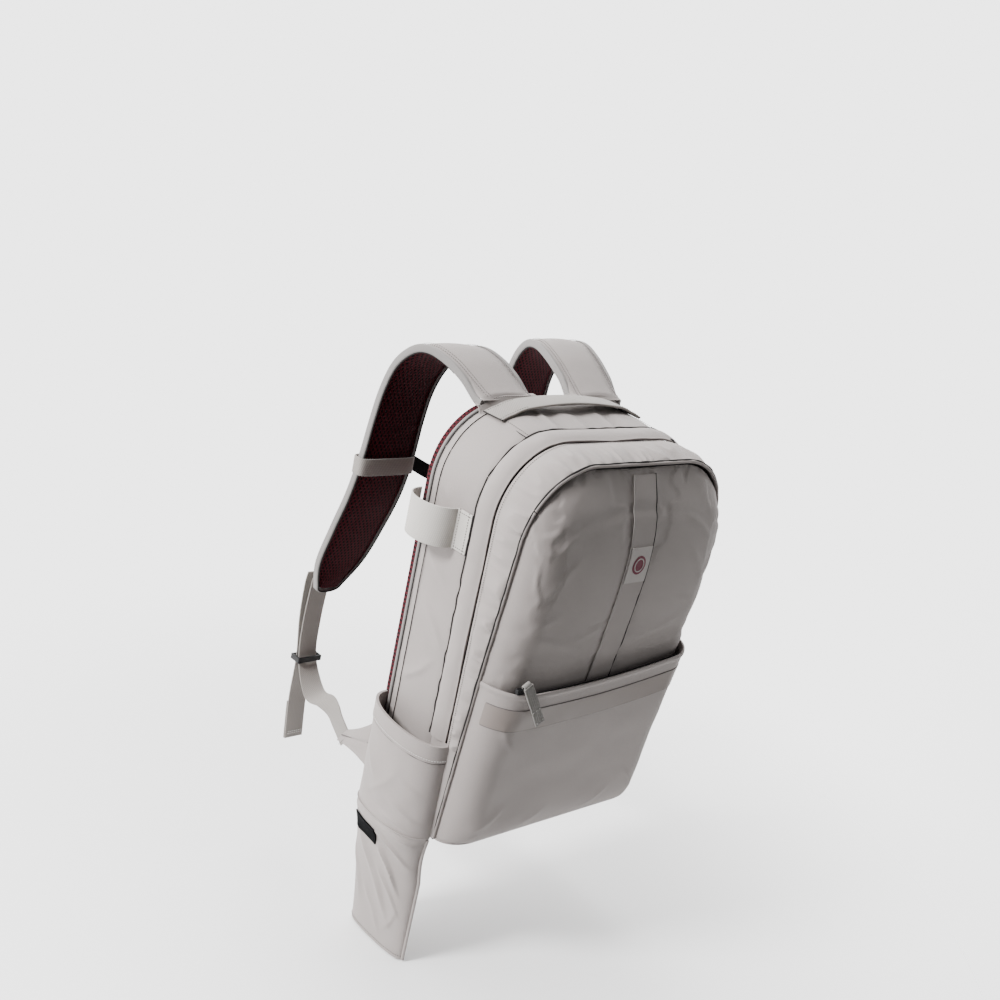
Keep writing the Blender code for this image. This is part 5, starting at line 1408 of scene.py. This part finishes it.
def make_wing(label):
    """Three-cornered anchor of doubled cloth beside the back pad."""
    low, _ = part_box("strap_wing_" + label)
    tip = wing_tip(label)
    sign = SIGN[label]
    root_x = sign * (HALF - 0.0011)
    root_foot = np.array((root_x, low.y, low.z))
    root_head = np.array((root_x, low.y, GROUND + 0.090))
    tip_foot = tip - WING_EDGE * (WEBBING_WIDTH / 2 + 0.001)
    tip_head = tip + WING_EDGE * (WEBBING_WIDTH / 2 + 0.001)
    s = np.linspace(0, 1, 36)[:, None, None]
    t = np.linspace(0, 1, 28)[None, :, None]
    hollow = 0.10 * s * (1 - s) * (t - 0.5)
    grid = (root_foot * (1 - s) + tip_foot * s) * (1 - t) + (root_head * (1 - s) + tip_head * s) * t
    grid = grid - np.array((0, 0, 1.0)) * hollow * 0.35
    outward = np.array((sign, 0.0, 0.0))
    pillow = (0.0012 + 0.0016 * np.sin(math.pi * s[..., 0]) * np.sin(math.pi * t[..., 0]) ** 0.7
              - 0.0012 * dip(t[..., 0] - 0.5 + 0 * s[..., 0], 0.03) + 0.0008 * noise(grid, 0.018, 131))
    front = grid + outward * pillow[..., None]
    rear = grid - outward * pillow[..., None]
    wing = shell("strap_wing_cloth_" + label, front, 0.002, FABRIC, core=np.array((0.0, 0.03, GROUND + 0.04)),
                 inner=rear)
    settle(wing, "pack", ("strap_wing_" + label,))
    seam = grid[:, 14] + outward * 0.0016
    settle(sweep("wing_seam_" + label, seam, (1.0, 0.0, 0.0), round_section(0.0006, 6), THREAD), "pack")
    edge = np.linspace(-1, 1, 16)[:, None] * WING_EDGE * WEBBING_WIDTH * 0.45 + tip + (0, -0.006, -0.003)
    stitch("pack_grey", edge + outward * 0.0022)


# ---- sternum strap -------------------------------------------------------------------------------
STERNUM_WIDTH = 0.018


def make_sternum():
    """The sternum strap: a loop round each pad, the elastic, the webbing and its loose tail."""
    section = band_section(STERNUM_WIDTH, 0.0015, 0.0007)
    for label in ("left", "right"):
        low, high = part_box("sternum_loop_" + label)
        middle = np.array((low + high) / 2)
        half = np.array((high - low) / 2) - (0.0022, 0.0010, 0)
        turn = np.linspace(0, math.tau, 73)[:-1]
        x, y = [np.sign(f) * np.abs(f) ** 0.42 * size for f, size in zip((np.cos(turn), np.sin(turn)), half)]
        path = points(middle[0] + x, middle[1] + y, middle[2])
        loop = sweep("sternum_loop_webbing_" + label, path, (0.0, 0.0, 1.0),
                     band_section(high.z - low.z, 0.0018, 0.0008), WEBBING, closed=True)
        settle(loop, "sternum_" + label, ("sternum_loop_" + label,))
    for name, body, node, material, slot in (
            ("sternum_elastic_band", "sternum_left", "sternum_elastic", BLACK_WEAVE, "touch_fastener_black"),
            ("sternum_webbing_band", "sternum_right", "sternum_webbing", WEBBING, "webbing_grey")):
        low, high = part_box(node)
        outer_end, inner_end = (low.x, high.x) if body == "sternum_left" else (high.x, low.x)
        share = np.linspace(0, 1, 30)
        drop = high.z - low.z - STERNUM_WIDTH
        z = high.z - STERNUM_WIDTH / 2 - drop * np.sin(math.pi / 2 * share) ** 1.3
        path = points(outer_end + (inner_end - outer_end) * share, (low.y + high.y) / 2, z)
        band = sweep(name, path, (0.0, 0.0, 1.0), section, material)
        settle(band, body, (node,))
    low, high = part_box("sternum_tail")
    path = points((low.x + high.x) / 2, np.linspace(low.y, high.y, 16), np.linspace(high.z, low.z, 16))
    tail = sweep("sternum_tail_webbing", path, (1.0, 0.0, 0.0), section, WEBBING)
    settle(tail, "sternum_right", ("sternum_tail",))


# ---- zips and pulls ------------------------------------------------------------------------------
def make_pocket_pull():
    """Ribbed tape folded through the slider and sewn to itself."""
    joint = next(j for j in frame["joints"] if j["name"] == "pocket_pull_lift")
    pivot = np.array(joint["pos_m"])
    down = unit(np.array((0.53, 0.0, -0.848)))
    across = unit(np.array((0.848, 0.0, 0.53)))
    length = 0.052
    share = np.linspace(0, 1, 30)
    path = pivot - down * 0.004 + down * (length + 0.004) * share[:, None]
    path = path - points(0.0, 0.0006 * np.sin(math.pi * share), 0.0)
    grooves = [(x * 0.0116, 0.0010 + 0.00022 * math.cos(x * math.tau * 5))
               for x in np.linspace(-0.5, 0.5, 21)]
    section = grooves[::-1] + [(x, -y) for x, y in grooves]
    pull = sweep("pocket_pull_tape", path, across, section, PULL_TAPE, sharp=60)
    settle(pull, "pocket_pull", ("pocket_pull",))
    angle = np.linspace(-0.3, math.pi + 0.3, 20)
    path = pivot - down * (0.003 + 0.0032 * np.sin(angle))[:, None]
    path = path + points(0.0, 0.0026 * (1 - np.cos(angle)), 0.0)
    loop = sweep("pocket_pull_loop", path, across, band_section(0.0090, 0.0012, 0.0005), PULL_TAPE)
    settle(loop, "pocket_pull")
    row = np.linspace(-0.004, 0.004, 8)[:, None] * across - (0, 0.0018, 0)
    for share in (0.60, 0.92):
        stitch("pocket_pull_pale", pivot + down * length * share + row)


STITCH = (0.0030, 0.0021)               # spacing and length
GATHER_STITCH = (0.0026, 0.0016)
THREAD_THICK = 0.0009
TOOTH = (0.0016, 0.0009, 0.0016)        # spacing, length and thickness


def repeat_tree(name, solid):
    """Copies of one small solid spaced along edges, turned to follow them."""
    tree = bpy.data.node_groups.new(name, "GeometryNodeTree")
    tree.interface.new_socket("Geometry", in_out="INPUT", socket_type="NodeSocketGeometry")
    for label, value in (("Spacing", 0.003), ("Length", 0.002), ("Thickness", 0.0006)):
        tree.interface.new_socket(label, in_out="INPUT", socket_type=NUMBER).default_value = value
    tree.interface.new_socket("Material", in_out="INPUT", socket_type="NodeSocketMaterial")
    tree.interface.new_socket("Geometry", in_out="OUTPUT", socket_type="NodeSocketGeometry")
    given, result, curve, spaced, copies, tangent, turned, size, real, paint, shape = [
        tree.nodes.new(kind) for kind in (
            "NodeGroupInput", "NodeGroupOutput", "GeometryNodeMeshToCurve", "GeometryNodeResampleCurve",
            "GeometryNodeInstanceOnPoints", "GeometryNodeInputTangent", "FunctionNodeAlignRotationToVector",
            "ShaderNodeCombineXYZ", "GeometryNodeRealizeInstances", "GeometryNodeSetMaterial",
            "GeometryNodeMeshIcoSphere" if solid == "thread" else "GeometryNodeMeshCube")]
    spaced.mode = "LENGTH"
    turned.axis = "X"
    if solid == "thread":
        shape.inputs["Radius"].default_value = 0.5
        shape.inputs["Subdivisions"].default_value = 1
    for start, output, end, entry in (
            (given, "Geometry", curve, "Mesh"), (curve, "Curve", spaced, "Curve"),
            (given, "Spacing", spaced, "Length"), (spaced, "Curve", copies, "Points"),
            (shape, "Mesh", copies, "Instance"), (tangent, "Tangent", turned, "Vector"),
            (turned, "Rotation", copies, "Rotation"), (given, "Length", size, "X"),
            (given, "Thickness", size, "Y"), (given, "Thickness", size, "Z"),
            (size, "Vector", copies, "Scale"), (copies, "Instances", real, "Geometry"),
            (real, "Geometry", paint, "Geometry"),
            (given, "Material", paint, "Material"), (paint, "Geometry", result, "Geometry")):
        tree.links.new(start.outputs[output], end.inputs[entry])
    return tree


def repeat_along(name, paths, tree, spacing, length, thick, material):
    """A plain mesh of the tree's copies along paths."""
    places, edges = [], []
    for path in paths:
        first = len(places)
        places += path.tolist()
        edges += [(first + i, first + i + 1) for i in range(len(path) - 1)]
    guide_mesh = bpy.data.meshes.new(name + "_guide")
    guide_mesh.from_pydata(places, edges, [])
    guide = bpy.data.objects.new(name + "_guide", guide_mesh)
    bpy.context.scene.collection.objects.link(guide)
    modifier = guide.modifiers.new("repeat", "NODES")
    modifier.node_group = tree
    values = {"Spacing": spacing, "Length": length, "Thickness": thick, "Material": material}
    for item in tree.interface.items_tree:
        if item.in_out == "INPUT" and item.name in values:
            modifier[item.identifier] = values[item.name]
    graph = bpy.context.evaluated_depsgraph_get()
    mesh = bpy.data.meshes.new_from_object(guide.evaluated_get(graph), depsgraph=graph)
    bpy.data.objects.remove(guide)
    mesh.name = name
    mesh.shade_smooth()
    mesh.set_sharp_from_angle(angle=math.radians(60))
    piece = bpy.data.objects.new(name, mesh)
    bpy.context.scene.collection.objects.link(piece)
    return piece


def make_repeats():
    """Every row of stitches, and the zip's teeth."""
    thread = repeat_tree("stitch_run", "thread")
    tooth = repeat_tree("tooth_run", "tooth")
    kinds = {"grey": (THREAD, *STITCH), "pale": (PALE_THREAD, *STITCH), "dark": (SEAM_SHADE, *GATHER_STITCH)}
    for group, paths in sorted(stitch_runs.items()):
        body, kind = group.rsplit("_", 1)
        material, spacing, length = kinds[kind]
        piece = repeat_along("stitches_" + group, paths, thread, spacing, length, THREAD_THICK, material)
        if body == "door":
            bend_at_crease(piece, 0.15, 0, 0.05, "fabric_warm_grey")
        else:
            settle(piece, "drop_sleeve" if body == "sleeve" else body)
    foot = ZIP_END + 0.002
    reach = arch_reach(foot)
    runs = np.linspace(-reach, reach, 500)
    for label, body, shift in (("body", "pack", -0.0010), ("door", "front_door", 0.0010)):
        line = arch(runs, ZIP_LINE + shift, -0.0030, foot)
        teeth = repeat_along("zip_teeth_" + label, [line], tooth, *TOOTH, PLASTIC)
        settle(teeth, body)


def keep_hard_parts():
    """CAD pieces whose shape is already right get their finish."""
    for node in ("ladder_lock_left", "ladder_lock_right", "webbing_keeper_left", "webbing_keeper_right",
                 "sternum_buckle_socket", "sternum_buckle_plug", "main_slider_upper", "main_slider_lower",
                 "main_pull_upper", "main_pull_lower", "pocket_slider"):
        frame["nodes"][node].data.materials[0] = PLASTIC
    frame["nodes"]["frame_sheet"].data.materials[0] = SHEET


# ---- camera, floor and light ---------------------------------------------------------------------
DIM_SIDE = 0.13
BRIGHT_SIDE = 3.6
FLOOR_GAP = 0.002
FLOOR_FADE = (0.22, 0.95)               # the floor is solid up to the first distance and gone at the second
LAMP_AIM = Vector((0, -0.08, 0.0))
LAMPS = (("key", (-1.9, 0.30, 1.35), 0.50, 92.0), ("top", (0.3, 0.7, 2.2), 0.7, 20.0),
         ("right_fill", (2.2, -1.2, 0.9), 1.2, 5.0), ("right_glow", (0.85, -0.62, 0.10), 0.4, 3.4))
CAMERA_AZIMUTH, CAMERA_ELEVATION, CAMERA_ROLL = math.radians(48.37), math.radians(21.18), math.radians(13.37)
CAMERA_AIM = Vector((0, -0.09, 0.024))
CAMERA_DISTANCE = 1.4617
CAMERA_LENS, CAMERA_SHIFT_X, CAMERA_SHIFT_Y = 47.7, -0.058, 0.0995


def make_backdrop():
    """A pale studio: bright behind, beside and above the bag, and dim in front of it."""
    world = bpy.data.worlds.new("studio")
    world.use_nodes = True
    tree = world.node_tree
    place = tree.nodes.new("ShaderNodeTexCoord")
    split = tree.nodes.new("ShaderNodeSeparateXYZ")
    tree.links.new(place.outputs["Generated"], split.inputs[0])
    strength = ramp(tree, split.outputs["Y"], -0.45, 0.45, DIM_SIDE, BRIGHT_SIDE)
    tree.links.new(strength, tree.nodes["Background"].inputs["Strength"])
    tree.nodes["Background"].inputs["Color"].default_value = rgb(1.0, 1.0, 1.0)
    bpy.context.scene.world = world


def make_studio():
    """The pale floor under the bag and the soft lamps round it."""
    low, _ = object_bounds()
    bpy.ops.mesh.primitive_plane_add(size=60.0, location=(0, 0, low.z - FLOOR_GAP))
    floor = bpy.context.object
    floor.name = "floor"
    paint = bpy.data.materials.new("floor_paint")
    paint.use_nodes = True
    tree = paint.node_tree
    shader = tree.nodes["Principled BSDF"]
    shader.inputs["Base Color"].default_value = rgb(0.93, 0.93, 0.93)
    shader.inputs["Roughness"].default_value = 0.9
    place = tree.nodes.new("ShaderNodeTexCoord")
    reach = tree.nodes.new("ShaderNodeVectorMath")
    reach.operation = "LENGTH"
    tree.links.new(place.outputs["Object"], reach.inputs[0])
    tree.links.new(ramp(tree, reach.outputs["Value"], *FLOOR_FADE, 1.0, 0.0), shader.inputs["Alpha"])
    floor.data.materials.append(paint)
    make_backdrop()
    for name, place, size, power in LAMPS:
        lamp = bpy.data.lights.new(name, "AREA")
        lamp.size = size
        lamp.energy = power
        holder = bpy.data.objects.new(name, lamp)
        holder.location = place
        holder.rotation_mode = "QUATERNION"
        holder.rotation_quaternion = (Vector(place) - LAMP_AIM).to_track_quat("Z", "Y")
        bpy.context.scene.collection.objects.link(holder)


def make_camera():
    """Seen from the front left and a little above, with the bag leaning to the right."""
    turn, rise_angle = CAMERA_AZIMUTH, CAMERA_ELEVATION
    back = Vector((-math.sin(turn) * math.cos(rise_angle), -math.cos(turn) * math.cos(rise_angle),
                   math.sin(rise_angle)))
    right = Vector((math.cos(turn), -math.sin(turn), 0))
    up = back.cross(right)
    across = right * math.cos(CAMERA_ROLL) + up * math.sin(CAMERA_ROLL)
    upward = up * math.cos(CAMERA_ROLL) - right * math.sin(CAMERA_ROLL)
    data = bpy.data.cameras.new("camera")
    data.lens = CAMERA_LENS
    data.sensor_width = 36.0
    data.shift_x, data.shift_y = CAMERA_SHIFT_X, CAMERA_SHIFT_Y
    camera = bpy.data.objects.new("camera", data)
    turned = Matrix((across, upward, back)).transposed().to_4x4()
    camera.matrix_world = Matrix.Translation(CAMERA_AIM + back * CAMERA_DISTANCE) @ turned
    bpy.context.scene.collection.objects.link(camera)
    bpy.context.scene.camera = camera


make_camera()
make_body_sides()
make_flap()
make_gusset()
make_zip_backing()
make_front_seam()
make_front()
make_pocket()
make_strip()
make_base()
make_back_pad()
make_inside()
make_stick_pocket()
make_sleeve()
make_stick_loop()
make_handle()
for strap_side in ("left", "right"):
    make_strap(strap_side)
    make_root_cover(strap_side)
    make_adjuster(strap_side)
    make_wing(strap_side)
make_sternum()
make_pocket_pull()
make_repeats()
keep_hard_parts()
make_studio()
